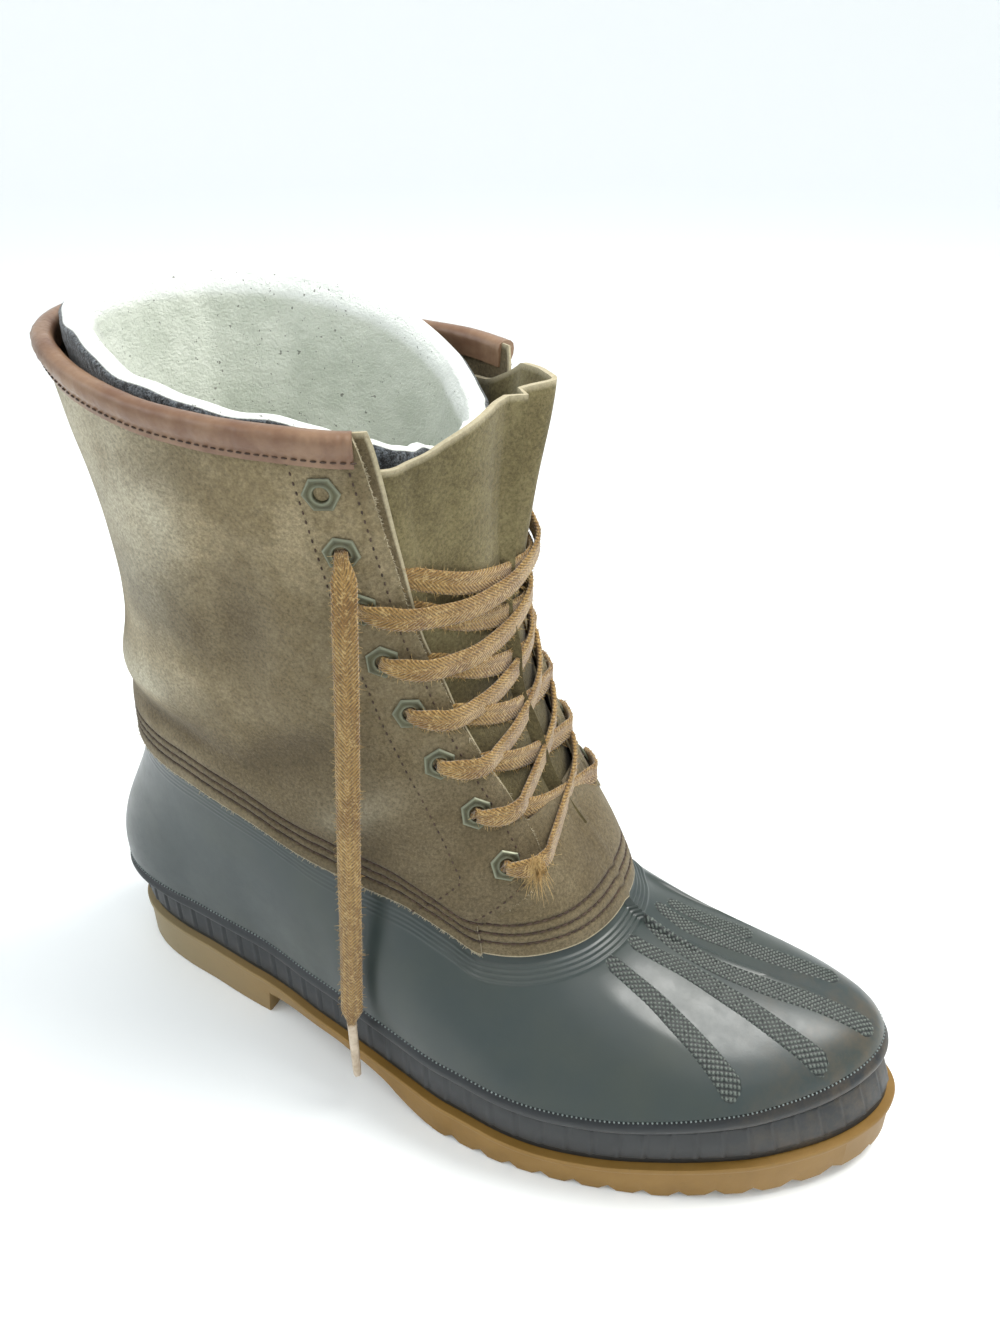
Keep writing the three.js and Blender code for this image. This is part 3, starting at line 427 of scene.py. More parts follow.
# Mesh making: lengths, faces and pieces
def toMetres(points):
    flat = np.asarray(points, float).reshape(-1, 3).copy()
    flat[:, 0] -= sole["heelRest"]
    return flat * mm


# The length along a row of points, or along each column of a grid of them
def lengthAlong(points):
    steps = np.linalg.norm(np.diff(points, axis=0), axis=-1)
    return np.concatenate([np.zeros_like(steps[:1]), np.cumsum(steps, 0)])


# Faces of a grid of points kept row after row; a round grid also joins its last row or column to its first
def gridFaces(rows, columns, roundRows=False, roundColumns=True, start=0):
    faces = []
    for j in range(rows if roundRows else rows - 1):
        for i in range(columns if roundColumns else columns - 1):
            after, beside = (j + 1) % rows, (i + 1) % columns
            corners = ((j, i), (j, beside), (after, beside), (after, i))
            faces.append(tuple(start + row * columns + column for row, column in corners))
    return faces


# Strips across the flat end of a closed row, between its two sides
def capFaces(start, count):
    faces = []
    for k in range(count // 2):
        ring = [k, k + 1, (count - k - 1) % count, (count - k) % count]
        loop = [start + c for n, c in enumerate(ring) if c != ring[n - 1]]
        if len(set(loop)) > 2:
            faces.append(loop)
    return faces


def linked(name, data):
    piece = bpy.data.objects.new(name, data)
    bpy.context.scene.collection.objects.link(piece)
    return piece


# A wall's values for an attribute: those of its outer face, then those of its inner face
def bothFaces(outer, inner=None):
    inner = outer if inner is None else np.broadcast_to(inner, outer.shape)
    return np.concatenate([outer.ravel(), inner.ravel()])


def meshPiece(name, verts, faces, material, uvs=None, attributes=None, sharp=40):
    mesh = bpy.data.meshes.new(name)
    mesh.from_pydata(verts.tolist(), [], [list(f) for f in faces])
    if uvs is not None:
        layer = mesh.uv_layers.new(name="surface")
        layer.data.foreach_set("uv", np.asarray(uvs, np.float32).ravel())
    for key, values in (attributes or {}).items():
        attribute = mesh.attributes.new(key, "FLOAT", "POINT")
        attribute.data.foreach_set("value", np.asarray(values, np.float32).ravel())
    work = bmesh.new()
    work.from_mesh(mesh)
    bmesh.ops.recalc_face_normals(work, faces=work.faces)
    work.to_mesh(mesh)
    work.free()
    mesh.shade_smooth()
    if sharp:
        mesh.set_sharp_from_angle(angle=math.radians(sharp))
    piece = linked(name, mesh)
    mesh.materials.append(material)
    return piece


def seat(piece, slot, *replaced):
    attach(piece, "root")
    if replaced:
        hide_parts(*replaced)
    print("made", piece.name, len(piece.data.polygons), "faces")
    return piece


# Lengths along a grid's rows and columns, in metres, for patterns that follow the surface
def gridUv(grid, closed):
    ring = np.concatenate([grid, grid[:, :1]], 1) if closed else grid
    around = np.linalg.norm(np.diff(ring, axis=1), axis=-1)
    u = np.concatenate([np.zeros((len(grid), 1)), np.cumsum(around, 1)], 1)
    u -= u[:, u.shape[1] // 2][:, None]
    v = lengthAlong(ring)
    return np.stack([u, v], -1) * mm


# The closed wall between two grids of points, rows going up and columns going round
def wallPiece(name, outer, inner, closed, material, attributes=None, sharp=40):
    rows, columns = outer.shape[:2]
    size = rows * columns
    pairs = columns if closed else columns - 1
    uvGrids = [gridUv(outer, closed), gridUv(inner, closed)]
    faces, uvs = [], []

    def add(corners):
        ids = [side * size + j * columns + i % columns for side, j, i in corners]
        faces.append(np.stack([np.broadcast_to(c, corners[0][2].shape).ravel() for c in ids], -1))
        corner = [uvGrids[side][j, i].reshape(-1, 2) for side, j, i in corners]
        uvs.append(np.stack(corner, 1))

    j, i = np.meshgrid(np.arange(rows - 1), np.arange(pairs), indexing="ij")
    add([(0, j, i), (0, j + 1, i), (0, j + 1, i + 1), (0, j, i + 1)])
    add([(1, j, i), (1, j, i + 1), (1, j + 1, i + 1), (1, j + 1, i)])
    i = np.arange(pairs)
    low, high = np.zeros_like(i), np.full_like(i, rows - 1)
    add([(0, low, i), (0, low, i + 1), (1, low, i + 1), (1, low, i)])
    add([(0, high, i), (1, high, i), (1, high, i + 1), (0, high, i + 1)])
    if not closed:
        j = np.arange(rows - 1)
        first, last = np.zeros_like(j), np.full_like(j, columns - 1)
        add([(0, j, first), (1, j, first), (1, j + 1, first), (0, j + 1, first)])
        add([(0, j, last), (0, j + 1, last), (1, j + 1, last), (1, j, last)])
    verts = toMetres(np.concatenate([outer.reshape(-1, 3), inner.reshape(-1, 3)]))
    faceArray = np.concatenate(faces)
    uvArray = np.concatenate(uvs)
    return meshPiece(name, verts, faceArray, material, uvArray.reshape(-1, 2), attributes, sharp)


# Colours and materials
def colour(code):
    parts = [int(code[k : k + 2], 16) / 255 for k in (1, 3, 5)]
    linear = [c / 12.92 if c <= 0.04045 else ((c + 0.055) / 1.055) ** 2.4 for c in parts]
    return (*linear, 1)


def addNode(tree, kind, sockets=None, **settings):
    node = tree.nodes.new(kind)
    for key, value in settings.items():
        setattr(node, key, value)
    for key, value in (sockets or {}).items():
        socket = node.inputs[key]
        if isinstance(value, bpy.types.NodeSocket):
            tree.links.new(value, socket)
        else:
            socket.default_value = value
    return node


def newMaterial(name, **shader):
    material = bpy.data.materials.new(name)
    material.use_nodes = True
    tree = material.node_tree
    surface = tree.nodes["Principled BSDF"]
    for key, value in shader.items():
        surface.inputs[key.replace("_", " ")].default_value = value
    return material, tree, surface


def objectSpace(tree):
    return addNode(tree, "ShaderNodeTexCoord").outputs["Object"]


def noise(tree, where, size, detail=2.0, rough=0.5):
    sockets = {"Vector": where, "Scale": 1 / (size * mm), "Detail": detail, "Roughness": rough}
    return addNode(tree, "ShaderNodeTexNoise", sockets).outputs["Fac"]


def blendColours(tree, factor, first, second, mode="MIX"):
    node = addNode(tree, "ShaderNodeMix", data_type="RGBA", blend_type=mode)
    for index, value in ((0, factor), (6, first), (7, second)):
        if isinstance(value, bpy.types.NodeSocket):
            tree.links.new(value, node.inputs[index])
        else:
            node.inputs[index].default_value = value
    return node.outputs[2]


def spread(tree, value, low, high, start=0.0, end=1.0):
    sockets = {"Value": value, "From Min": low, "From Max": high, "To Min": start, "To Max": end}
    return addNode(tree, "ShaderNodeMapRange", sockets).outputs["Result"]


# Cloudy patches: noise of a size in millimetres, a detail and a roughness, cut between two levels
def patches(tree, where, texture, low, high, start=0.0, end=1.0):
    return spread(tree, noise(tree, where, *texture), low, high, start, end)


def sums(tree, operation, first, second):
    node = addNode(tree, "ShaderNodeMath", {0: first, 1: second}, operation=operation)
    return node.outputs[0]


def attributeOf(tree, name):
    return addNode(tree, "ShaderNodeAttribute", attribute_name=name).outputs["Fac"]


def bump(tree, surface, height, distance, strength=1.0, below=None):
    sockets = {"Height": height, "Distance": distance * mm, "Strength": strength}
    if below is not None:
        sockets["Normal"] = below
    normal = addNode(tree, "ShaderNodeBump", sockets).outputs["Normal"]
    tree.links.new(normal, surface.inputs["Normal"])
    return normal


# Waxed suede, brushed: a matt short nap with cloudy patches, painted paler where light falls on it, painted
# darker as shade and along the lap, dark in the seams and pale along its cut edges. The nap is drawn about
# 1 mm coarse to show.
def suedeMaterial(name, light, middle, dark):
    material, tree, surface = newMaterial(
        name, Roughness=0.95, Sheen_Weight=0.12, Sheen_Roughness=0.5, Specular_IOR_Level=0.2
    )
    where = objectSpace(tree)
    cloud = patches(tree, where, (26, 8, 0.7), 0.42, 0.62)
    base = blendColours(tree, cloud, colour(middle), colour(light))
    # Painted light: paler in clouds where a piece marks it, as on the lit upper back of the leg and on
    # crease ridges
    clouded = patches(tree, where, (18, 5, 0.7), 0.3, 0.6, 0.5, 1)
    paintedLightPatches = sums(tree, "MULTIPLY", attributeOf(tree, "paintedLight"), clouded)
    base = blendColours(tree, paintedLightPatches, base, colour("#aca590"))
    patch = patches(tree, where, (60, 3, 0.5), 0.46, 0.64, 0, 0.6)
    base = blendColours(tree, patch, base, colour(dark))
    # Painted shade: darker where a piece marks it deep, as on the leg's front, low down and in crease
    # troughs
    base = blendColours(tree, attributeOf(tree, "deep"), base, colour(dark))
    base = blendColours(tree, attributeOf(tree, "grease"), base, colour("#33271d"))
    nap = noise(tree, where, 1.1, 4, 0.75)
    speck = spread(tree, nap, 0.3, 0.7, 0.58, 1.42)
    shade = addNode(tree, "ShaderNodeCombineColor", {"Red": speck, "Green": speck, "Blue": speck})
    base = blendColours(tree, 1.0, base, shade.outputs["Color"], "MULTIPLY")
    raw = sums(tree, "MULTIPLY", attributeOf(tree, "cut"), spread(tree, nap, 0.25, 0.6, 0.6, 1))
    base = blendColours(tree, raw, base, colour("#b3a88c"))
    tree.links.new(base, surface.inputs["Base Color"])
    fine = bump(tree, surface, nap, 0.4, 0.7)
    bump(tree, surface, noise(tree, where, 6, 4, 0.6), 0.7, 0.6, fine)
    return material


# Moulded rubber: satin, with dusty and slightly olive patches where it was handled, and faint scuffs
def rubberMaterial(name, main, dusty, roughness, dust=0.5):
    material, tree, surface = newMaterial(name, Specular_IOR_Level=0.5, IOR=1.52)
    where = objectSpace(tree)
    cloud = patches(tree, where, (45, 4, 0.6), 0.42, 0.68, 0, dust)
    base = blendColours(tree, cloud, colour(main), colour(dusty))
    ahead = addNode(tree, "ShaderNodeSeparateXYZ", {"Vector": where}).outputs["X"]
    grime = patches(tree, where, (16, 6, 0.75), 0.44, 0.7)
    toe = sums(tree, "MULTIPLY", spread(tree, ahead, 0.225, 0.283, 0, 0.75), grime)
    base = blendColours(tree, toe, base, colour("#5a4a34"))
    tree.links.new(base, surface.inputs["Base Color"])
    gloss = patches(tree, where, (9, 6, 0.75), 0.3, 0.7, roughness - 0.02, roughness + 0.09)
    tree.links.new(gloss, surface.inputs["Roughness"])
    fine = bump(tree, surface, noise(tree, where, 0.8, 3, 0.6), 0.05, 0.35)
    bump(tree, surface, noise(tree, where, 40, 2, 0.4), 0.3, 0.3, fine)
    return material


# Gum rubber: dense, matt and honey brown, paler and greyer where it is rubbed at the heel
def gumMaterial():
    material, tree, surface = newMaterial("gumRubberMoulded", Roughness=0.55, Specular_IOR_Level=0.4)
    where = objectSpace(tree)
    cloud = patches(tree, where, (30, 5, 0.6), 0.35, 0.7)
    base = blendColours(tree, cloud, colour("#79591f"), colour("#8a6932"))
    along = addNode(tree, "ShaderNodeSeparateXYZ", {"Vector": where}).outputs["X"]
    heel = spread(tree, along, 0.09, -0.02, 0, 0.75)
    base = blendColours(tree, heel, base, colour("#887d60"))
    grime = patches(tree, where, (4, 6, 0.8), 0.58, 0.8, 0, 0.5)
    base = blendColours(tree, grime, base, colour("#54472f"))
    tree.links.new(base, surface.inputs["Base Color"])
    bump(tree, surface, noise(tree, where, 1.2, 4, 0.6), 0.1, 0.5)
    return material


# Smooth folded leather, dyed brown: a soft gloss on the roll, fine creases across it
def bindingMaterial():
    material, tree, surface = newMaterial("foldedLeatherSmooth", Specular_IOR_Level=0.45)
    where = objectSpace(tree)
    cloud = patches(tree, where, (14, 5, 0.6), 0.35, 0.65)
    base = blendColours(tree, cloud, colour("#6a4c38"), colour("#866a52"))
    tree.links.new(base, surface.inputs["Base Color"])
    grain = noise(tree, where, 1.6, 4, 0.6)
    tree.links.new(spread(tree, grain, 0.3, 0.7, 0.28, 0.48), surface.inputs["Roughness"])
    bump(tree, surface, grain, 0.14, 0.6)
    return material


# Pressed wool felt: white, matt and woolly, with small dark burrs caught in it
def feltMaterial():
    material, tree, surface = newMaterial("woolFeltPressed", Roughness=1.0, Sheen_Weight=0.4)
    where = objectSpace(tree)
    cloud = patches(tree, where, (22, 5, 0.65), 0.35, 0.65)
    # Painted shade: the felt's base is greyer than white, as in the shade inside the boot
    base = blendColours(tree, cloud, colour("#c2c8ba"), colour("#d9ddd1"))
    # Painted light: white where a piece marks the rim, on the lit top of the rim and just inside below it
    base = blendColours(tree, attributeOf(tree, "rim"), base, colour("#f1f4ef"))
    burr = patches(tree, where, (2.2, 2, 0.9), 0.665, 0.70, 0, 0.75)
    base = blendColours(tree, burr, base, colour("#5b5b52"))
    outside = attributeOf(tree, "outside")
    fleck = patches(tree, where, (1.3, 3, 0.8), 0.45, 0.62)
    dark = blendColours(tree, fleck, colour("#14181b"), colour("#636a70"))
    base = blendColours(tree, outside, base, dark)
    tree.links.new(base, surface.inputs["Base Color"])
    fine = bump(tree, surface, noise(tree, where, 1.0, 4, 0.8), 0.6, 0.8)
    bump(tree, surface, noise(tree, where, 8, 5, 0.7), 1.6, 0.8, fine)
    return material


# Nickel-plated steel, aged: dull and greenish on the flats, bright where the edges are rubbed
def eyeletMaterial():
    material, tree, surface = newMaterial("nickelAged", Metallic=0.75)
    where = objectSpace(tree)
    cloud = patches(tree, where, (3, 4, 0.7), 0.35, 0.65)
    base = blendColours(tree, cloud, colour("#3c3a2d"), colour("#56543f"))
    base = blendColours(tree, attributeOf(tree, "worn"), base, colour("#7d7f6c"))
    tree.links.new(base, surface.inputs["Base Color"])
    tree.links.new(spread(tree, cloud, 0, 1, 0.38, 0.6), surface.inputs["Roughness"])
    bump(tree, surface, noise(tree, where, 1.0, 3, 0.6), 0.06, 0.5)
    return material


# Woven cotton lace: a flat herringbone with threads of about 0.8 mm, faded and fuzzy
def laceMaterial():
    material, tree, surface = newMaterial("cottonLaceWoven", Roughness=0.95, Sheen_Weight=0.3)
    where = addNode(tree, "ShaderNodeUVMap", uv_map="surface").outputs["UV"]
    parts = addNode(tree, "ShaderNodeSeparateXYZ", {"Vector": where})
    across = sums(tree, "ABSOLUTE", parts.outputs["Y"], 0.0)
    slant = sums(tree, "ADD", parts.outputs["X"], sums(tree, "MULTIPLY", across, 1.4))
    rib = sums(tree, "SINE", sums(tree, "MULTIPLY", slant, 2 * math.pi / (1.5 * mm)), 0.0)
    cord = sums(tree, "SINE", sums(tree, "MULTIPLY", across, 2 * math.pi / (1.9 * mm)), 0.0)
    weave = spread(tree, sums(tree, "ADD", rib, sums(tree, "MULTIPLY", cord, 0.5)), -1.5, 1.5)
    solid = objectSpace(tree)
    cloud = patches(tree, solid, (11, 4, 0.6), 0.35, 0.65)
    base = blendColours(tree, cloud, colour("#775628"), colour("#9c7b42"))
    base = blendColours(tree, spread(tree, weave, 0.15, 0.6, 0.85, 0), base, colour("#553f22"))
    fluff = patches(tree, solid, (1.2, 3, 0.8), 0.52, 0.64, 0, 0.6)
    base = blendColours(tree, fluff, base, colour("#c3a872"))
    tree.links.new(base, surface.inputs["Base Color"])
    fine = bump(tree, surface, weave, 0.35, 0.8)
    bump(tree, surface, noise(tree, solid, 0.9, 3, 0.8), 0.25, 0.6, fine)
    return material


# The foot's rubber where it is knurled: rougher, with painted shade in the knurls' hollows and a painted
# highlight on their tops
def knurlMaterial():
    material, tree, surface = newMaterial("rubberKnurled", Roughness=0.5, Specular_IOR_Level=0.5)
    # Painted shade near black in the hollows, and a painted highlight in patches on the knurls' tops
    top = spread(tree, attributeOf(tree, "knurl"), 0.2, 0.7)
    cloud = noise(tree, objectSpace(tree), 14, 4, 0.6)
    light = blendColours(tree, cloud, colour("#4c5550"), colour("#71786f"))
    tree.links.new(blendColours(tree, top, colour("#151a19"), light), surface.inputs["Base Color"])
    return material


# Small things of nearly one colour: thread, fibres and the lace's plastic tip
def plainMaterial(name, first, second, roughness, size=4.0):
    material, tree, surface = newMaterial(name, Roughness=roughness)
    where = objectSpace(tree)
    cloud = patches(tree, where, (size, 3, 0.6), 0.35, 0.65)
    tree.links.new(blendColours(tree, cloud, colour(first), colour(second)), surface.inputs["Base Color"])
    bump(tree, surface, noise(tree, where, 0.7, 2, 0.5), 0.06, 0.4)
    return material


suede = suedeMaterial("suedeWaxed", "#8d8065", "#74674c", "#4f4431")
suedeInside = suedeMaterial("suedeTongue", "#7b7150", "#685e40", "#4c432c")
footRubber = rubberMaterial("rubberSatinGrey", "#2a3332", "#393e34", 0.31, 0.45)
knurledRubber = knurlMaterial()
randRubber = rubberMaterial("rubberSatinDark", "#101417", "#1b2024", 0.45, 0.4)
gumRubber = gumMaterial()
bindingLeather = bindingMaterial()
felt = feltMaterial()
nickel = eyeletMaterial()
cotton = laceMaterial()
thread = plainMaterial("polyesterThread", "#2e2119", "#4a382b", 0.8)
fluff = plainMaterial("cottonFibres", "#8f6f3e", "#c4a873", 0.95)
suedeFibres = plainMaterial("suedeFibres", "#8a8068", "#beb49a", 0.95)
# Paler rubber for the small ticks along the rand's bead
paleTickRubber = plainMaterial("rubberPaleTicks", "#5d6765", "#7d8785", 0.5)
shrunkPlastic = plainMaterial("plasticShrunk", "#a08c74", "#c0b09b", 0.35)
print("materials ready")


# Outsole: rows of the sole's outline from the tread up to the lip, closed above and below. The lugs of
# its front half start at "first", and their valleys run between two shares of the pitch.
lugs = {"first": sole["length"] * 0.5, "valley": 0.25, "valleyEnd": 0.72, "heelStep": 1.5, "toeGap": 3}


def soleTurns():
    even = np.linspace(0, 0.5, 150)
    count = int((sole["length"] - lugs["first"]) // sole["lugPitch"])
    corners = [sole["heelLength"], sole["heelLength"] + lugs["heelStep"]]
    for i in range(count):
        x = lugs["first"] + (i + 0.5) * sole["lugPitch"]
        corners += [x + sole["lugPitch"] * share for share in (lugs["valley"], lugs["valleyEnd"])]
        corners += [x - 0.2, x]
    shares = np.array(corners) / sole["length"]
    half = np.sort(np.concatenate([even, np.arccos(1 - 2 * shares) / (2 * np.pi)]))
    return np.concatenate([-half[::-1], half[1:-1]])


def underside(x):
    behind = x < sole["heelLength"] + 0.7
    arch = np.where(behind, 0, treadHeight(np.maximum(x, sole["heelLength"] + 2)))
    phase = ((x - lugs["first"]) / sole["lugPitch"] - 0.5) % 1
    ridge = np.interp(phase, [0, lugs["valley"], lugs["valleyEnd"], 0.985, 1], [1, 0, 0, 0.98, 1])
    lugged = (x > lugs["first"] + sole["lugPitch"] * 0.5) & (x < sole["length"] - lugs["toeGap"])
    return arch + np.where(lugged, ridge * sole["lugDepth"], 0)


def makeOutsole():
    turn = soleTurns()
    lip, drop = sole["lip"], sole["lipHeight"]
    # Each row: how far out, whether it is measured from the gum's top or the ground, and the lift
    profile = [(-lip - 1.2, 0, 0.0), (-lip - 0.3, 0, 0.5), (-lip - 0.1, 0, 1.4), (-lip, 1, -drop - 0.7)]
    profile += [(-0.35, 1, -drop), (-0.05, 1, -drop + 0.5), (0, 1, -0.7), (-0.3, 1, -0.15), (-1.2, 1, 0)]
    rows = []
    for out, fromTop, lift in profile:
        point = outlinePoint(turn, out)
        base = gumTop(point[:, 0]) if fromTop else underside(outlinePoint(turn)[:, 0])
        rows.append(vec(point[:, 0], point[:, 1], base + lift))
    grid = np.array(rows)
    count = len(turn)
    uv = gridUv(grid, True)
    j, i = np.meshgrid(np.arange(len(rows) - 1), np.arange(count), indexing="ij")
    corner = [(j, i), (j + 1, i), (j + 1, i + 1), (j, i + 1)]
    faces = np.stack([(a * count + b % count).ravel() for a, b in corner], -1).tolist()
    uvs = np.stack([uv[a, b].reshape(-1, 2) for a, b in corner], 1).reshape(-1, 2).tolist()
    flat = toMetres(grid)
    for row in (0, len(rows) - 1):
        for loop in capFaces(row * count, count):
            faces.append(loop)
            uvs += [[flat[c][0], flat[c][1]] for c in loop]
    piece = meshPiece("gum_outsole", flat, faces, gumRubber, uvs, sharp=35)
    return seat(piece, "gum_rubber", "outsole")


# Turns at even lengths round the outline, and that line's whole length
def evenTurns(count, out):
    turns = np.linspace(-0.5, 0.5, 1201)
    length = lengthAlong(outlinePoint(turns, out))
    return np.interp(np.arange(count) / count * length[-1], length, turns), length[-1]


# Rand: foot strip, upright ribs, groove and round bead, run round the outline and leant back at the toe.
# Each rib has "steps" columns, and "cut" is how much of its height is lost at each phase of the way round.
flute = {
    "steps": 12,
    "phase": [0, 0.08, 0.66, 0.74, 0.8, 0.84, 0.93, 1], "cut": [0.3, 0.4, 0.5, 1, 1, 0, 0, 0.3],
}


def makeRand():
    _, girth = evenTurns(10, -rand["inset"])
    ribs = round(girth / rand["ribPitch"])
    turn, _ = evenTurns(ribs * flute["steps"], -rand["inset"])
    phase = (np.arange(ribs * flute["steps"]) / flute["steps"]) % 1
    cutAway = np.interp(phase, flute["phase"], flute["cut"])
    ledge = ledgeOut(shareOf(turn))
    deep = -rand["inset"] - rand["ribNotch"]
    low, high, neck = rand["ribBottom"], rand["ribTop"], rand["grooveTop"] - 0.2
    rows = []

    def row(out, rise):
        rows.append(raised(outlinePoint(turn, out), rise))

    row(deep - 0.3, 0.2)
    row(deep, 0.8)
    row(deep, low - 0.4)
    ribRows = [(low, 0.0), (low + 0.6, 0.75), (low + 1.3, 1), (high - 1, 1), (high - 0.4, 0.75)]
    for rise, share in [*ribRows, (high + 0.1, 0.1)]:
        row(deep + (rand["ribNotch"] + 0.15) * share * (1 - 0.55 * cutAway), rise)
    for rise in (neck - 0.6, neck - 0.2):
        row(-rand["inset"] - rand["grooveDepth"], rise)
    middle, half = (rand["rise"] + neck) / 2, (rand["rise"] - neck) / 2
    for angle in np.linspace(-0.5, 0.5, 11):
        rounded = np.cos(angle * np.pi) ** 0.6 if abs(angle) < 0.5 else 0
        row(mix(-rand["inset"] - 0.4, ledge, rounded), middle + half * 2 * angle)
    row(-rand["inset"] - 3.4, rand["rise"] - 0.3)
    within = outlinePoint(turn, -rand["inset"] - rand["wall"])
    inner = [raised(within, rise) for rise in np.linspace(0.2, rand["rise"] - 0.4, len(rows))]
    piece = wallPiece("ribbed_rand", np.array(rows), np.array(inner), True, randRubber, sharp=60)
    return seat(piece, "rand_rubber", "rand")


# Rubber foot: rows at even lengths of each rib of the shell, closer together under the suede, where four
# fine ridges follow the top line
ridges = {"first": 4.6, "pitch": 1.9, "count": 4, "height": 0.5, "faint": 0.22, "band": 15}

# The shell folds sharply at this turn of its inner flank, so its grid is evened out there
foldedFlank = {"turn": 0.392, "reach": 0.035}


# A closed grid with each column averaged with its neighbours
def evened(grid, reach):
    return sum(np.roll(grid, step, axis=1) for step in range(-reach, reach + 1)) / (2 * reach + 1)


def makeRubberFoot():
    columns = 384
    turn = np.arange(columns) / columns - 0.5
    up = np.linspace(0, 1, 81)
    dense = ribPoint(turn[None, :], up[:, None])
    length = lengthAlong(dense)
    coarse = np.linspace(0, 1, 34)[:-1]
    fine = np.linspace(0, 1, 46)
    ups, below = [], []
    for i in range(columns):
        total = length[-1, i]
        wanted = np.concatenate([coarse * (total - ridges["band"]), total - ridges["band"] * (1 - fine)])
        ups.append(np.interp(wanted, length[:, i], up))
        below.append(total - wanted)
    ups, below = np.array(ups).T, np.array(below).T
    step = (below - ridges["first"]) / ridges["pitch"]
    inRidges = (step > -0.5) & (step < ridges["count"] - 0.5)
    ahead = smooth((shareOf(turn) - 0.5) / 0.15)
    high = ridges["height"] * mix(ridges["faint"], 1, ahead)
    lift = np.where(inRidges, np.cos(np.pi * (step - np.round(step))) ** 2 * high, 0)
    turns = np.broadcast_to(turn[None, :], ups.shape)
    outer = ribPoint(turns, ups)
    flank = np.exp(-(((turn - foldedFlank["turn"]) / foldedFlank["reach"]) ** 2))[None, :, None]
    outer = mix(outer, evened(evened(outer, 5), 5), flank)
    across = np.roll(outer, -1, axis=1) - np.roll(outer, 1, axis=1)
    inward = evened(unit(np.cross(across, np.gradient(outer, axis=0))), 3)
    inward[0, :, 2] = 0
    inward = unit(inward)
    outer = outer - inward * lift[..., None]
    inner = outer + inward * (rubber["wall"] + lift)[..., None]
    share = read(fanTable, "to", shareOf(turn))
    side = np.where(turn < 0, -1, 1)
    extraOut, extraIn = [], []
    for rise in (3, 7, rubber["lap"]):
        height = topLine(share) + rise
        around = side * turnAt(legSection(height), share)
        extraOut.append(legPoint(height, around, leg["wall"] + rubber["seat"]))
        extraIn.append(legPoint(height, around, leg["wall"] + rubber["seat"] + rubber["wall"]))
    outer = np.concatenate([outer, np.array(extraOut)])
    inner = np.concatenate([inner, np.array(extraIn)])
    piece = wallPiece("rubber_shell", outer, inner, True, footRubber, sharp=50)
    return seat(piece, "foot_rubber", "rubber_foot")


# Knurled strips that fan out over the toe: their middle lines in plan, chosen from the photo
strips = {"width": 9.2, "narrow": 0.72, "step": 0.42, "knurl": 2.0, "depth": 0.62, "base": 0.1}
stripLines = [
    [(226, -23), (232, -23.5), (243, -25.5), (255, -30), (269, -36), (280, -41)],
    [(230, -11.6), (238, -10.7), (249, -10), (270, -12.7), (291, -17.2), (305, -19.6)],
    [(232, 1.2), (244, -1.6), (262, -2.6), (281, -1.6), (297, 0.3), (311, 1.2), (317, 1.4)],
    [(233, 11.4), (247, 9.6), (266, 12.4), (284, 14.6), (302, 17.5)],
    [(236, 17.5), (246, 18.3), (257, 19.8), (269, 21.8)],
]


def smoothLine(points, count):
    points = np.array(points, float)
    length = lengthAlong(points)
    dense = np.linspace(0, length[-1], count)
    table = {"at": length, **{str(k): points[:, k] for k in range(points.shape[1])}}
    return np.stack([read(table, str(k), dense) for k in range(points.shape[1])], -1)


def makeStrips(shell):
    tree = BVHTree.FromPolygons(
        [v.co for v in shell.data.vertices], [p.vertices for p in shell.data.polygons]
    )
    verts, faces, knurls = [], [], []
    step = strips["step"]
    half = int(strips["width"] / 2 / step)
    for line in stripLines:
        count = int(lengthAlong(np.array(line, float))[-1] / step)
        middle = smoothLine(line, count)
        ahead = unit(np.gradient(middle, axis=0))
        beside = np.stack([-ahead[:, 1], ahead[:, 0]], -1)
        faces += gridFaces(count, 2 * half + 1, roundColumns=False, start=len(verts))
        for n in range(count):
            fromEnd = min(n, count - 1 - n)
            taper = min(1.0, (fromEnd + 1) * step / 1.5)
            squeeze = mix(strips["narrow"], 1, float(smooth(n / count / 0.6)))
            squeeze *= min(1.0, 0.45 + 0.09 * fromEnd)
            for w in range(-half, half + 1):
                across = w * step * squeeze
                x, y = middle[n] + beside[n] * across
                above = Vector(((x - sole["heelRest"]) * mm, y * mm, 0.4))
                hit, normal, _, _ = tree.ray_cast(above, Vector((0, 0, -1)))
                if hit is None:
                    hit, normal, _, _ = tree.find_nearest(Vector((above.x, above.y, 0.08)))
                slants = [(n * step + across * way) / strips["knurl"] for way in (1, -1)]
                knurl = 1 - max(abs(slant % 1 - 0.5) * 2 for slant in slants)
                height = strips["base"] + strips["depth"] * knurl * 1.6
                edge = taper * min(1.0, (half - abs(w)) / 1.5)
                verts.append(hit + normal * mm * mix(-0.35, height, edge))
                knurls.append(knurl)
    points = np.array([tuple(v) for v in verts])
    piece = meshPiece("knurled_strips", points, faces, knurledRubber, None, {"knurl": knurls}, sharp=0)
    return seat(piece, "foot_rubber")
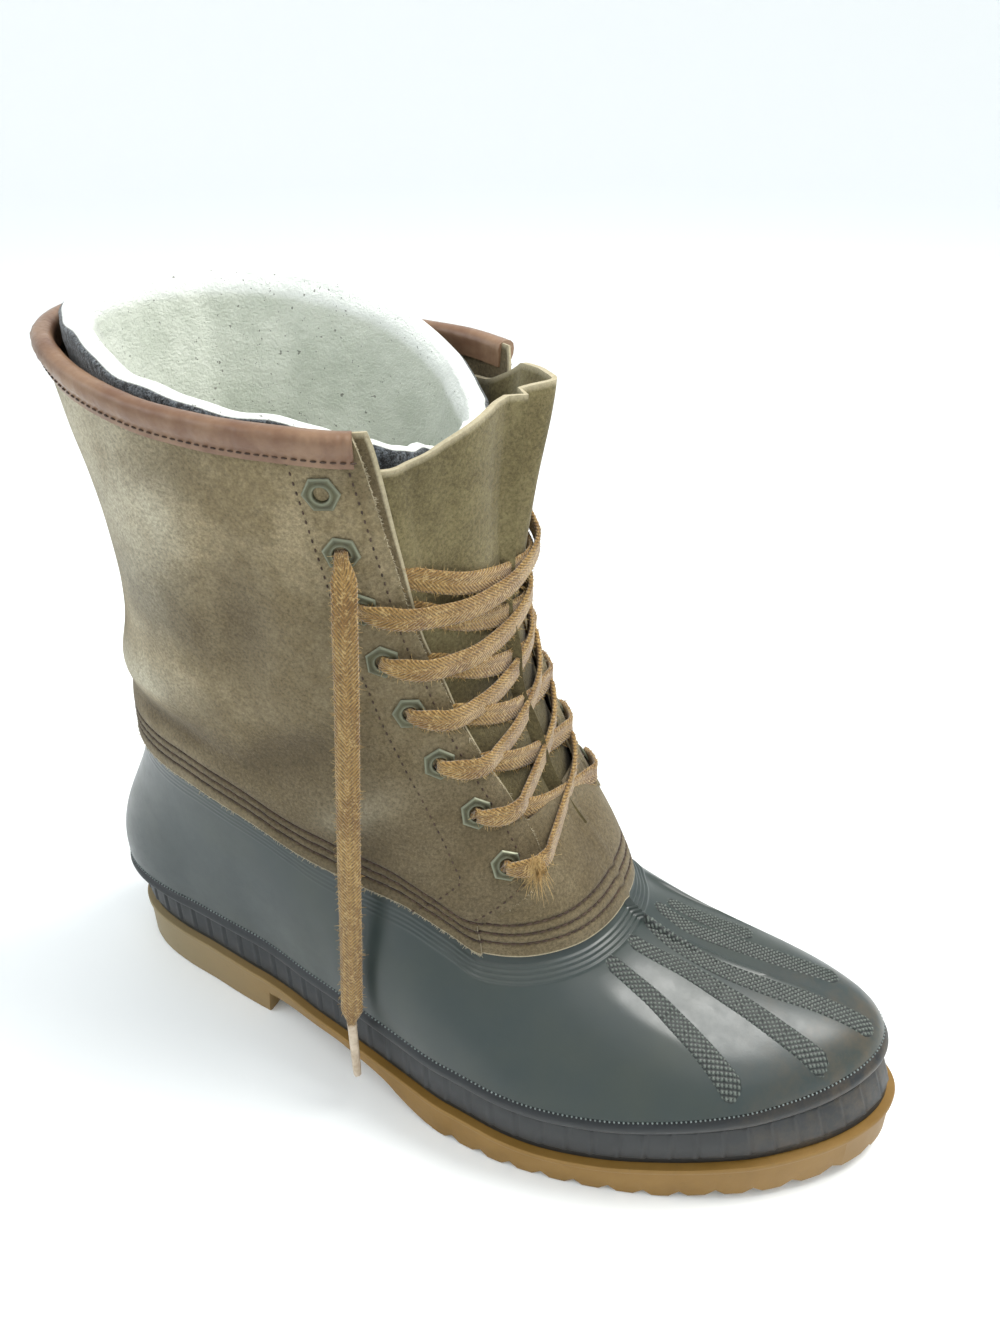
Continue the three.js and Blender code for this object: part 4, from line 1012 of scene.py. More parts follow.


# Creases of the leg, placed one by one: side -1 outer or 1 inner, x and z of the middle, tilt in degrees
# from level, half length, half width and depth, a ridge being negative
creases = [
    {"side": -1, "x": 62, "z": 141, "tilt": -4, "long": 34, "wide": 8, "deep": 1.8},
    {"side": -1, "x": 80, "z": 127, "tilt": -10, "long": 34, "wide": 8, "deep": -1.6},
    {"side": -1, "x": 50, "z": 160, "tilt": 6, "long": 36, "wide": 10, "deep": -1.3},
    {"side": -1, "x": 120, "z": 150, "tilt": 28, "long": 26, "wide": 7, "deep": 1.2},
    {"side": -1, "x": 140, "z": 128, "tilt": 38, "long": 24, "wide": 7, "deep": -1.0},
    {"side": -1, "x": 35, "z": 205, "tilt": 78, "long": 40, "wide": 12, "deep": 1.4},
    {"side": -1, "x": 75, "z": 215, "tilt": 70, "long": 40, "wide": 14, "deep": -1.2},
    {"side": -1, "x": 110, "z": 200, "tilt": 82, "long": 36, "wide": 12, "deep": 1.0},
    {"side": 1, "x": 60, "z": 142, "tilt": -6, "long": 36, "wide": 8, "deep": 1.6},
    {"side": 1, "x": 84, "z": 128, "tilt": -12, "long": 32, "wide": 8, "deep": -1.4},
    {"side": 1, "x": 122, "z": 148, "tilt": 30, "long": 26, "wide": 8, "deep": 1.1},
    {"side": 1, "x": 45, "z": 190, "tilt": 60, "long": 40, "wide": 13, "deep": 1.3},
    {"side": 1, "x": 90, "z": 215, "tilt": 75, "long": 40, "wide": 14, "deep": -1.1},
]


def creaseDepth(point):
    depth = np.zeros(point.shape[:-1])
    for crease in creases:
        dx = point[..., 0] - crease["x"]
        dz = point[..., 2] - crease["z"]
        angle = math.radians(crease["tilt"])
        along = (dx * math.cos(angle) + dz * math.sin(angle)) / crease["long"]
        across = (dz * math.cos(angle) - dx * math.sin(angle)) / crease["wide"]
        near = smooth((point[..., 1] * crease["side"]) / 18)
        depth += crease["deep"] * near * np.exp(-(along**2) * 1.5) * np.exp(-(across**2))
    return depth


# Suede leg: grooves for the three rows of lap stitching are pressed into its wall. "lap" gives the rows'
# heights above the rubber, and above "top" the leg's rows share the way to the collar evenly.
seams = {"lap": [5.2, 9.0, 12.8], "groove": 0.6, "half": 0.62, "top": 16.0, "sunk": 0.28}
nearEdge = np.array([0.988, 0.992, 0.9955, 0.998, 1])
aroundLeg = np.concatenate([-nearEdge[::-1], np.linspace(-0.985, 0.985, 275), nearEdge])

# Painted shade and light on the suede, and a darker lap band: how much, then from where and over how many
# millimetres it fades in
legLightAndShade = {
    "lapDeep": 0.3, "frontDeep": 0.35, "frontFrom": 82, "frontRun": 42, "frontBelow": 235, "frontFade": 40,
    "lowDeep": 0.4, "lowBelow": 180, "lowFade": 55, "creaseDeep": 0.28,
    "paleAbove": 165, "paleFade": 75, "paleBehind": 55, "paleRun": 60, "creasePale": 0.45,
}


def legRows():
    low = [0, 0.35, 1, 2, 3.4]
    for row in seams["lap"]:
        low += [row + step for step in (-1.1, -0.7, -0.35, 0, 0.35, 0.7, 1.1)]
    low += [seams["top"]]
    rest = np.linspace(0, 1, 56)[1:]
    lows = np.array(low + [seams["top"]] * len(rest))
    ups = np.concatenate([np.zeros(len(low)), rest])
    return lows, ups


# How deep the seam grooves are at a height above the suede's lower edge, from 0 to 1
def seamGroove(above):
    return sum(np.exp(-(((above - row) / seams["half"]) ** 2)) for row in seams["lap"])


def collarPlace(k):
    height, turn, _ = quarterPlace(k, np.full(k.shape, seams["top"]), np.ones(k.shape))
    return height, turn


def makeUpper():
    shading = legLightAndShade
    lows, ups = legRows()
    k = aroundLeg[None, :]
    height, turn, share = quarterPlace(k, lows[:, None], ups[:, None])
    bare = legPoint(height, turn)
    above = height - topLine(share)
    fade = smooth((leg["height"] - 12 - bare[..., 2]) / 20) * smooth((above - 14) / 12)
    toFront = 1 - smooth((np.abs(k) - 0.86) / 0.1)
    depth = 1.7 * creaseDepth(bare) * fade * mix(0.3, 1, toFront)
    groove = seamGroove(above - leg["fit"]) * seams["groove"]
    puff = 0.14 * np.sin(turn * 620) * np.exp(-(((above - 9) / 4) ** 2))
    outer = legPoint(height, turn, depth + groove + puff)
    inner = legPoint(height, turn, leg["wall"] + depth)
    # The suede's darker tone: a band along the lap, and painted shade on the leg's front, low down and in
    # crease troughs
    lap = smooth((above - 2) / 3) * (1 - smooth((above - 11) / 5))
    front = smooth((bare[..., 0] - shading["frontFrom"]) / shading["frontRun"])
    front = front * smooth((shading["frontBelow"] - height) / shading["frontFade"])
    low = shading["lowDeep"] * smooth((shading["lowBelow"] - height) / shading["lowFade"])
    deep = np.clip(shading["lapDeep"] * lap + shading["frontDeep"] * front + low, 0, 0.85)
    deep = np.clip(deep + shading["creaseDeep"] * depth, 0, 0.9)
    # Painted light: paler high on the back of the leg and on the crease ridges
    paintedLight = smooth((height - shading["paleAbove"]) / shading["paleFade"])
    paintedLight = paintedLight * (1 - smooth((bare[..., 0] - shading["paleBehind"]) / shading["paleRun"]))
    cut = np.zeros_like(depth)
    cut[0] = 1
    cut[:, :3] = cut[:, -3:] = 0.9
    attributes = {
        "grease": bothFaces(np.clip(groove * 1.5, 0, 0.9), 0),
        "deep": bothFaces(deep),
        "paintedLight": bothFaces(np.clip(paintedLight - shading["creasePale"] * depth, 0, 1), 0),
        "cut": bothFaces(cut),
    }
    piece = wallPiece("suede_leg", outer, inner, False, suede, attributes, sharp=55)
    return seat(piece, "suede", "leather_upper")


# The plug over the vamp, under both quarters
def makePlug():
    around = np.linspace(1, -1, 97)
    rise = np.concatenate([np.linspace(0, 0.5, 36), np.linspace(0.5, 1, 14)[1:]])[:, None]
    height = np.full((len(rise), len(around)), float(leg["plugTop"]))
    for _ in range(5):
        share = frontShare(around, height, leg["plugLap"])
        height = mix(topLine(share) + leg["fit"], leg["plugTop"], rise)
    groove = seamGroove(height - topLine(share) - leg["fit"])
    outer = frontPoint(around, height, leg["plugLap"], leg["plugStep"] + groove * seams["groove"])
    inner = frontPoint(around, height, leg["plugLap"], leg["plugStep"] + leg["plugWall"])
    cut = np.zeros_like(groove)
    cut[0] = 1
    # Painted shade: the plug is darker all over, like the low front of the leg
    attributes = {
        "grease": bothFaces(np.clip(groove * 0.85, 0, 0.9), 0),
        "deep": bothFaces(np.full_like(groove, 0.62)),
        "cut": bothFaces(cut),
    }
    return seat(wallPiece("suede_plug", outer, inner, False, suede, attributes, sharp=55), "suede")


# Backstay: the strip over the back seam, standing "gap" off the suede, with its stitches in from its edges
backstay = {"width": 24, "top": 196, "thick": 1.3, "gap": 0.7, "seam": 2.8}


def makeBackstay():
    columns = np.linspace(-0.5, 0.5, 25)[None, :]
    height = mix(rubber["heelTop"] + 2, backstay["top"], np.linspace(0, 1, 61))[:, None] + 0 * columns
    turn = backTurn(height, columns * backstay["width"])
    edge = smooth((np.abs(columns) - 0.44) / 0.06) * 0.5
    outer = legPoint(height, turn, -backstay["gap"] - backstay["thick"] + edge)
    inner = legPoint(height, turn, -backstay["gap"])
    cut = np.zeros(outer.shape[:2])
    cut[0] = cut[-1] = 1
    cut[:, 0] = cut[:, -1] = 1
    # Painted light: the backstay is a little paler all over, like the lit back of the leg
    attributes = {"paintedLight": bothFaces(np.full_like(cut, 0.4)), "cut": bothFaces(cut)}
    piece = wallPiece("suede_backstay", outer, inner, False, suede, attributes)
    return seat(piece, "suede", "backstay")


# Collar binding: a rolled edge with a flap down each face of the suede, swept round the collar. Its
# section gives drops below the collar and depths into the leg, up the outside, down the inside and back.
binding = {
    "outside": [
        (8, -1.1), (6.6, -1.3), (5.6, -1.2), (4.9, -1.35), (4.2, -1.8), (2.6, -2.3), (0.8, -2.35),
        (-0.8, -1.9), (-1.7, -0.8), (-1.9, 0.7),
    ],
    "inside": [(-1.6, 2.4), (-0.6, 3.8), (1.4, 4.3), (3, 3.9), (5, 3.8), (7, 3.8)],
    "back": [(7, 2.75), (3, 2.7), (0.5, 2.6), (-0.4, 1.4), (-0.4, 0.4), (0.5, -0.45), (3, -0.5), (8, -0.5)],
    "puckered": (5, 6, 7), "seam": 6.1,
}


def makeBinding():
    height, turn = collarPlace(np.linspace(-0.985, 0.985, 241))
    pucker = 0.18 * np.sin(turn * 900) + 0.12 * np.sin(turn * 341 + 1)
    grid = []
    for n, (drop, inset) in enumerate(binding["outside"] + binding["inside"] + binding["back"]):
        extra = pucker * (1 if n in binding["puckered"] else 0.3)
        grid.append(legPoint(height - drop, turn, inset + extra))
    grid = np.array(grid)
    count, columns = grid.shape[:2]
    faces = gridFaces(count, columns, roundRows=True, roundColumns=False)
    faces.append([j * columns for j in range(count)])
    faces.append([j * columns + columns - 1 for j in range(count - 1, -1, -1)])
    piece = meshPiece("leather_binding", toMetres(grid), faces, bindingLeather, sharp=45)
    return seat(piece, "binding_leather", "collar_binding")


# The thin lining behind each quarter's front edge: its columns lie "back" from the edge, and the last ones
# reach "beyond" it by what "shows" at these heights. "seams" are its stitches' places behind the edge.
facing = {
    "bottom": 108.0, "below": 2.5, "depths": (2.26, 3.0), "back": [12, 9, 6, 3, 1, 0, 0, 0, 0, 0],
    "beyond": [0, 0, 0, 0, 0, 0, 0.3, 0.6, 0.8, 1],
    "heights": [108, 150, 205, 262], "shows": [0.2, 0.7, 1.7, 3.9],
    "seams": (3.68, 19.78), "seamBottom": 97.0,
}


def makeFacings():
    rise = mix(facing["bottom"], leg["height"] - facing["below"], np.linspace(0, 1, 80))[:, None]
    shows = np.interp(rise, facing["heights"], facing["shows"])
    back = np.array(facing["back"]) - np.array(facing["beyond"]) * shows
    height = rise + 0 * back
    cut = np.zeros(height.shape)
    cut[:, -2:] = 1
    cut[-1] = 1
    # Painted shade: the facings are darker all over, lying behind the quarters' edges
    attributes = {"cut": bothFaces(cut), "deep": bothFaces(np.full_like(cut, 0.6))}
    pieces = []
    for side in (-1, 1):
        sheets = [legPoint(height, side * edgeTurn(height, back), inset) for inset in facing["depths"]]
        pieces.append(wallPiece(f"facing_{side}", *sheets, False, suede, attributes, sharp=55))
    with bpy.context.temp_override(active_object=pieces[0], selected_editable_objects=pieces):
        bpy.ops.object.join()
    pieces[0].name = "suede_facings"
    return seat(pieces[0], "suede")


# Tongue: waves run up it above the lacing, and its middle is crumpled below them
ripple = {"wave": 1.65, "waves": 21, "from": 0.35, "crumple": 0.8, "crumples": 30, "to": 0.75, "edge": 0.12}


def makeTongue():
    t, u = np.meshgrid(np.linspace(1, 0, 161), np.linspace(0, 1, 70))
    wave = ripple["wave"] * np.sin(t * ripple["waves"] + 1.2) * smooth((u - ripple["from"]) / 0.5)
    middle = np.exp(-(((t - 0.5) / 0.3) ** 2))
    crumple = ripple["crumple"] * np.sin(u * ripple["crumples"] + t * 9) * middle
    shape = wave + crumple * smooth((ripple["to"] - u) / 0.3)
    shape = shape * smooth(np.minimum(t, 1 - t) / ripple["edge"])
    outer = tonguePoint(t, u, shape)
    inner = tonguePoint(t, u, shape + tongueSize["wall"])
    cut = np.zeros(outer.shape[:2])
    cut[-1] = 1
    # Painted shade: the tongue darkens towards its bottom, down between the quarters, half as much on its
    # inner face
    deep = 0.7 * smooth((0.7 - u) / 0.45)
    attributes = {"deep": bothFaces(deep, deep * 0.5), "cut": bothFaces(cut)}
    piece = wallPiece("suede_tongue", outer, inner, False, suedeInside, attributes, sharp=55)
    return seat(piece, "suede", "tongue")


# Felt liner: its outside is a dark flecked layer, its rim is softly uneven and rounds over at the top
linerShape = {
    "floor": 3, "clear": 0.8, "nearRim": [0.942, 0.95, 0.957, 0.965, 0.975, 0.987, 1.0],
    "crown": [(1.5, 0.6), (1.9, 0.9), (4.6, 1.2)],
}


def makeLiner():
    turn = np.arange(200) / 200 - 0.5
    wall = linerSize["wall"]
    trayClear = rand["inset"] + rand["wall"] + linerShape["clear"]

    def shift(lift, out):
        return raised(outlinePoint(turn, -out), linerShape["floor"] + rubber["seat"] + lift)

    above = rand["rise"] - linerShape["floor"] + 1.2
    levels = [np.linspace(-0.8, -0.02, 12), np.linspace(0.002, 0.93, 38), linerShape["nearRim"]]
    waver = 0.9 * np.sin(turn * 44) + 0.6 * np.sin(turn * 97 + 2) + 0.35 * np.sin(turn * 190)
    outer = [shift(5, trayClear), shift(above, trayClear)]
    inner = [shift(wall + 4, trayClear + wall), shift(above, trayClear + wall)]
    for level in np.concatenate(levels):
        soft = waver * 0.6 * smooth((level - 0.3) / 0.6)
        roundOff = smooth((level - 0.975) / 0.025)
        outer.append(linerPoint(turn, level, soft + 0.6 * roundOff))
        inner.append(linerPoint(turn, level, wall + 0.8 + soft - 1.6 * roundOff))
    outer, inner = np.array(outer), np.array(inner)
    outer[-1, :, 2] += waver * 0.5
    inner[-1, :, 2] += waver * 0.5
    over, under = [], []
    for n, (inset, rise) in enumerate(linerShape["crown"]):
        over.append(linerPoint(turn, 1.0, waver * 0.6 + inset) + vec(0 * turn, 0, waver * 0.5 + rise))
        under.append(mix(inner[-2], inner[-1], (n + 1) / 4))
    outer = np.concatenate([outer, over])
    inner = np.concatenate([inner[:-1], under, inner[-1:]])
    outside = np.ones(outer.shape[:2])
    outside[-2:] = 0
    # Painted light: the rim's top and the top of its inner face are marked to be white as lit
    paintedLight = np.zeros(outer.shape[:2])
    paintedLight[-9:] = np.array([0.15, 0.6, 1, 1, 1, 1, 1, 1, 1])[:, None]
    attributes = {"outside": bothFaces(outside, 0), "rim": bothFaces(1 - outside, paintedLight)}
    piece = wallPiece("felt_sock", outer, inner, True, felt, attributes, sharp=0)
    return seat(piece, "felt", "felt_liner")


# Insole: rows of the liner's floor drawn in, each with how far it is drawn in further and its lift
insole = {"clear": 9, "rows": [(1.2, 0.1), (0, 0.9), (0, 3.1), (0.9, 3.9)]}


def makeInsole():
    turn = np.arange(120) / 120 - 0.5
    inset = rand["inset"] + rand["wall"] + linerShape["clear"] + linerSize["wall"] + insole["clear"]
    share = shareOf(turn)
    narrow = 1 - inset / halfWidth(share)
    centre = sole["length"] / 2
    x = mix(inset, sole["length"] - inset, share)
    y = (outlinePoint(turn)[:, 1] - middleLine(share)) * narrow
    base = linerShape["floor"] + linerSize["wall"] + 2 * rubber["seat"]
    grid = []
    for inward, lift in insole["rows"]:
        along = (x - centre) * (1 - inward / 150) + centre
        across = middleLine(share) + y * (1 - inward / 40)
        grid.append(vec(along, across, gumTop(along) + base + lift))
    flat = toMetres(np.array(grid))
    count = len(turn)
    faces = gridFaces(len(grid), count)
    for row in (0, len(grid) - 1):
        faces += capFaces(row * count, count)
    piece = meshPiece("felt_insole", flat, faces, felt, None, {"outside": np.zeros(len(flat))}, sharp=0)
    return seat(piece, "felt", "insole")


# Eyelets: a six-sided flange with a round rolled mouth, set on points by a node tree
def eyeletPlace(index, side):
    height = mix(eyeletSize["top"], eyeletSize["bottom"], index / (eyeletSize["count"] - 1))
    section = legSection(height)
    edge = float(edgeShare(height))
    turns = side * turnAt(section, np.arange(edge, edge - 0.4, -0.002))
    points = sectionPoint(section, np.full(turns.shape, height), turns)
    near = np.linalg.norm(points - points[0], axis=-1)
    turn = turns[int(np.argmax(near >= eyeletSize["setback"]))]
    point = legPoint(np.array(height), turn)
    outward = unit(point - legPoint(np.array(height), turn, 1.0))
    return {"side": side, "height": height, "point": point, "out": outward}


places = [[eyeletPlace(i, side) for i in range(eyeletSize["count"])] for side in (-1, 1)]


# One eyelet, up the outside and down through the hole. Each ring: its radius, how six-sided it is, its
# height above the leather and how worn it is.
def eyeletShape():
    flange, hole, around = eyeletSize["flange"], eyeletSize["hole"], 36
    angle = np.linspace(0, 2 * np.pi, around, endpoint=False)
    hexagon = math.cos(math.pi / 6) / np.cos(angle % (math.pi / 3) - math.pi / 6)
    rings = [(flange * 1.02, 1, 0.0, 0.3), (flange * 1.04, 1, 0.4, 0.8), (flange * 0.97, 1, 0.8, 1)]
    rings += [(flange * 0.86, 0.8, 0.95, 0.25), (flange * 0.7, 0.3, 0.9, 0), (hole + 0.75, 0, 1.0, 0.3)]
    rings += [(hole + 0.35, 0, 1.05, 0.8), (hole + 0.05, 0, 0.85, 0.9), (hole - 0.2, 0, 0.2, 0.1)]
    rings += [(hole - 0.2, 0, -2.9, 0), (hole + 0.7, 0, -2.9, 0), (hole + 0.7, 0, 0.0, 0)]
    verts, worn = [], []
    for radius, sixSided, z, rub in rings:
        reach = radius * mix(1, hexagon, sixSided)
        verts.append(vec(reach * np.cos(angle), reach * np.sin(angle), z))
        worn += [rub] * around
    flat = np.concatenate(verts) * mm
    faces = gridFaces(len(rings), around, roundRows=True)
    return meshPiece("eyelet_shape", flat, faces, nickel, None, {"worn": worn}, sharp=35)


def newTree(name, inputs):
    tree = bpy.data.node_groups.new(name, "GeometryNodeTree")
    tree.interface.new_socket("Geometry", in_out="INPUT", socket_type="NodeSocketGeometry")
    for key, (kind, value) in inputs.items():
        socket = tree.interface.new_socket(key, in_out="INPUT", socket_type="NodeSocket" + kind)
        if value is not None:
            socket.default_value = value
    tree.interface.new_socket("Geometry", in_out="OUTPUT", socket_type="NodeSocketGeometry")
    start = tree.nodes.new("NodeGroupInput")
    end = tree.nodes.new("NodeGroupOutput")
    return tree, start.outputs, end.inputs


# Runs a tree on a piece and gives back its result as a plain mesh
def runTree(source, tree, values, name):
    modifier = source.modifiers.new("nodes", "NODES")
    modifier.node_group = tree
    for item in tree.interface.items_tree:
        if item.in_out == "INPUT" and item.name in values:
            modifier[item.identifier] = values[item.name]
    graph = bpy.context.evaluated_depsgraph_get()
    graph.update()
    mesh = bpy.data.meshes.new_from_object(source.evaluated_get(graph), depsgraph=graph)
    source.modifiers.remove(modifier)
    piece = linked(name, mesh)
    mesh.name = name
    bpy.data.objects.remove(source)
    return piece


# Ends a tree: its copies become plain geometry with the finish
def endTree(tree, copies, given, result):
    solid = addNode(tree, "GeometryNodeRealizeInstances", {"Geometry": copies.outputs["Instances"]})
    sockets = {"Geometry": solid.outputs["Geometry"], "Material": given["Finish"]}
    done = addNode(tree, "GeometryNodeSetMaterial", sockets)
    tree.links.new(done.outputs["Geometry"], result["Geometry"])
    return tree


# A copy of a shape on every point, turned along the point's outward way and spun a little about it
def eyeletTree():
    inputs = {"Shape": ("Object", None), "Finish": ("Material", None), "Spin": ("Float", 0.4)}
    tree, given, result = newTree("eyeletsOnPoints", inputs)
    shape = addNode(tree, "GeometryNodeObjectInfo", {"Object": given["Shape"]}).outputs["Geometry"]
    named = addNode(tree, "GeometryNodeInputNamedAttribute", {"Name": "outward"}, data_type="FLOAT_VECTOR")
    outward = {"Vector": named.outputs["Attribute"]}
    turn = addNode(tree, "FunctionNodeAlignRotationToVector", outward, axis="Z").outputs["Rotation"]
    chance = {"Min": 0.0, "Max": given["Spin"], "Seed": 7}
    random = addNode(tree, "FunctionNodeRandomValue", chance, data_type="FLOAT").outputs[1]
    spin = addNode(tree, "ShaderNodeCombineXYZ", {"Z": random}).outputs[0]
    spun = addNode(tree, "FunctionNodeEulerToRotation", {"Euler": spin}).outputs[0]
    turns = {"Rotation": turn, "Rotate By": spun}
    both = addNode(tree, "FunctionNodeRotateRotation", turns, rotation_space="LOCAL").outputs[0]
    spots = addNode(tree, "GeometryNodeMeshToPoints", {"Mesh": given["Geometry"]}).outputs["Points"]
    sockets = {"Points": spots, "Instance": shape, "Rotation": both}
    return endTree(tree, addNode(tree, "GeometryNodeInstanceOnPoints", sockets), given, result)


def makeEyelets():
    shape = eyeletShape()
    spots = [spot["point"] + spot["out"] * eyeletSize["seat"] for row in places for spot in row]
    mesh = bpy.data.meshes.new("eyelet_points")
    mesh.from_pydata(toMetres(np.array(spots)).tolist(), [], [])
    attribute = mesh.attributes.new("outward", "FLOAT_VECTOR", "POINT")
    outs = np.array([spot["out"] for row in places for spot in row], np.float32)
    attribute.data.foreach_set("vector", outs.ravel())
    values = {"Shape": shape, "Finish": nickel, "Spin": 0.5}
    piece = runTree(linked("eyelet_points", mesh), eyeletTree(), values, "hex_eyelets")
    bpy.data.objects.remove(shape)
    names = [f"eyelet_{word}_{i + 1}" for word in ("outer", "inner") for i in range(eyeletSize["count"])]
    return seat(piece, "eyelet_metal", *names)


# Stitches: each seam's pitch, and its thread's length and half width, in metres as the tree reads them
stitches = {
    "lap": {"Pitch": 0.0027, "Length": 0.0022, "Thread": 0.0004},
    "facing": {"Pitch": 0.003, "Length": 0.0013, "Thread": 0.00034},
    "edge": {"Pitch": 0.0027, "Length": 0.0019, "Thread": 0.00034},
    "tick": {"Pitch": 0.0016, "Length": 0.0007, "Thread": 0.00042},
}


# Short rounded threads laid end to end along the edges of a line mesh
def stitchTree():
    inputs = {"Pitch": ("Float", 0.003), "Length": ("Float", 0.002), "Thread": ("Float", 0.0005)}
    tree, given, result = newTree("stitchesAlongLines", {**inputs, "Finish": ("Material", None)})
    curve = addNode(tree, "GeometryNodeMeshToCurve", {"Mesh": given["Geometry"]}).outputs["Curve"]
    pitch = {"Curve": curve, "Length": given["Pitch"]}
    even = addNode(tree, "GeometryNodeResampleCurve", pitch, mode="LENGTH")
    tangent = {"Vector": addNode(tree, "GeometryNodeInputTangent").outputs["Tangent"]}
    turn = addNode(tree, "FunctionNodeAlignRotationToVector", tangent, axis="Z").outputs["Rotation"]
    coarse = {"Segments": 6, "Rings": 5, "Radius": 1.0}
    ball = addNode(tree, "GeometryNodeMeshUVSphere", coarse).outputs["Mesh"]
    half = addNode(tree, "ShaderNodeMath", {0: given["Length"], 1: 0.5}, operation="MULTIPLY").outputs[0]
    sides = {"X": given["Thread"], "Y": given["Thread"], "Z": half}
    size = addNode(tree, "ShaderNodeCombineXYZ", sides).outputs[0]
    sockets = {"Points": even.outputs["Curve"], "Instance": ball, "Rotation": turn, "Scale": size}
    return endTree(tree, addNode(tree, "GeometryNodeInstanceOnPoints", sockets), given, result)


def stitched(name, lines, kind, finish, slot):
    verts, edges = [], []
    for line in lines:
        edges += [(len(verts) + n, len(verts) + n + 1) for n in range(len(line) - 1)]
        verts += toMetres(line).tolist()
    mesh = bpy.data.meshes.new(name + "_lines")
    mesh.from_pydata(verts, edges, [])
    values = {**stitches[kind], "Finish": finish}
    return seat(runTree(linked(name + "_lines", mesh), stitchTree(), values, name), slot)


def facingLine(side, back):
    height = mix(facing["seamBottom"], leg["height"] - 5, np.linspace(0, 1, 90))
    turn = side * edgeTurn(height, back)
    depth = creaseDepth(legPoint(height, turn)) * 0.3
    return legPoint(height, turn, depth - 0.12)


def makeStitches():
    k = np.linspace(-0.995, 0.995, 400)
    around = np.linspace(0.995, -0.995, 90)
    sunk = seams["groove"] - seams["sunk"]
    lines = []
    for row in seams["lap"]:
        height, turn, _ = quarterPlace(k, np.full(k.shape, row), np.zeros(k.shape))
        lines.append(legPoint(height, turn, sunk))
    for row in seams["lap"]:
        height = np.full(around.shape, 95.0)
        for _ in range(6):
            height = topLine(frontShare(around, height, 0)) + leg["fit"] + row
        lines.append(frontPoint(around, height, 0, leg["plugStep"] + sunk))
    stitched("suede_stitches", lines, "lap", thread, "suede")
    lines = [facingLine(side, back) for side in (-1, 1) for back in facing["seams"]]
    stitched("facing_stitches", lines, "facing", thread, "suede")
    height, turn = collarPlace(np.linspace(-0.98, 0.98, 400))
    lines = [legPoint(height - binding["seam"], turn, -1.38)]
    height = mix(rubber["heelTop"] + 4, backstay["top"] - 2, np.linspace(0.02, 0.98, 60))
    across = backstay["width"] / 2 - backstay["seam"]
    outside = -backstay["gap"] - backstay["thick"] - 0.1
    lines += [legPoint(height, backTurn(height, side * across), outside) for side in (-1, 1)]
    stitched("binding_stitches", lines, "edge", thread, "binding_leather")


# A row of small raised ticks where the rand's bead meets the rubber foot
def makeTicks():
    turn, _ = evenTurns(700, 0.0)
    line = raised(outlinePoint(turn, ledgeOut(shareOf(turn)) - 0.75), rand["rise"] + 0.15)
    stitched("rand_ticks", [np.concatenate([line, line[:1]])], "tick", paleTickRubber, "rand_rubber")


# Flat lace: its section as shares of its width and thickness, swept along a route and squeezed narrower
# where it passes through an eyelet
laceSection = [
    (-0.5, 0), (-0.46, 0.32), (-0.36, 0.5), (-0.12, 0.42), (0.12, 0.42), (0.36, 0.5), (0.46, 0.32),
    (0.5, 0), (0.46, -0.32), (0.36, -0.5), (0.12, -0.42), (-0.12, -0.42), (-0.36, -0.5), (-0.46, -0.32),
]


def curveThrough(points, count):
    points = np.array(points, float)
    chord = np.linalg.norm(np.diff(points, axis=0), axis=-1) ** 0.5
    knots = np.concatenate([[0], np.cumsum(chord)])
    fine = np.linspace(0, knots[-1], 400)
    slopes = np.gradient(points, knots, axis=0)
    i = np.clip(np.searchsorted(knots, fine, side="right") - 1, 0, len(knots) - 2)
    width = (knots[i + 1] - knots[i])[:, None]
    t = ((fine - knots[i]) / width[:, 0])[:, None]
    dense = (
        points[i] * (1 + 2 * t) * (1 - t) ** 2
        + slopes[i] * width * t * (1 - t) ** 2
        + points[i + 1] * t**2 * (3 - 2 * t)
        + slopes[i + 1] * width * t**2 * (t - 1)
    )
    length = lengthAlong(dense)
    even = np.linspace(0, length[-1], count)
    return np.stack([np.interp(even, length, dense[:, c]) for c in range(3)], -1), length[-1]


laceFrames = []  # each swept lace leaves its line, its ways and its widths here for its fibres


def sweepLace(name, routes):
    verts, faces, uvs = [], [], []
    around = len(laceSection)
    across = [w * lace["width"] * mm for w, _ in laceSection]
    for points, faceOut, pinch in routes:
        count = int(lengthAlong(np.array(points, float))[-1] / 1.1)
        line, length = curveThrough(points, max(24, count))
        ahead = unit(np.gradient(line, axis=0))
        out = faceOut(line)
        out = unit(out - ahead * np.sum(out * ahead, -1, keepdims=True))
        beside = np.cross(ahead, out)
        along = np.linspace(0, length, len(line))
        squeeze = np.array([pinch(at, length) for at in along])
        width = lace["width"] * (1 - 0.45 * squeeze)
        thick = lace["thick"] * (1 + 0.5 * squeeze)
        laceFrames.append((line[4:-5], beside[4:-5], out[4:-5], width[4:-5]))
        start = len(verts)
        faces += gridFaces(len(line), around, start=start)
        for n, point in enumerate(line):
            verts += [point + beside[n] * (w * width[n]) + out[n] * (h * thick[n]) for w, h in laceSection]
        for near, far in zip(along[:-1] * mm, along[1:] * mm):
            for c in range(around):
                first, second = across[c], across[(c + 1) % around]
                uvs += [(near, first), (near, second), (far, second), (far, first)]
        for cap in (start, start + (len(line) - 1) * around):
            faces.append([cap + c for c in range(around)])
            uvs += [(0, 0)] * around
    return meshPiece(name, toMetres(np.array(verts)), faces, cotton, uvs, sharp=0)


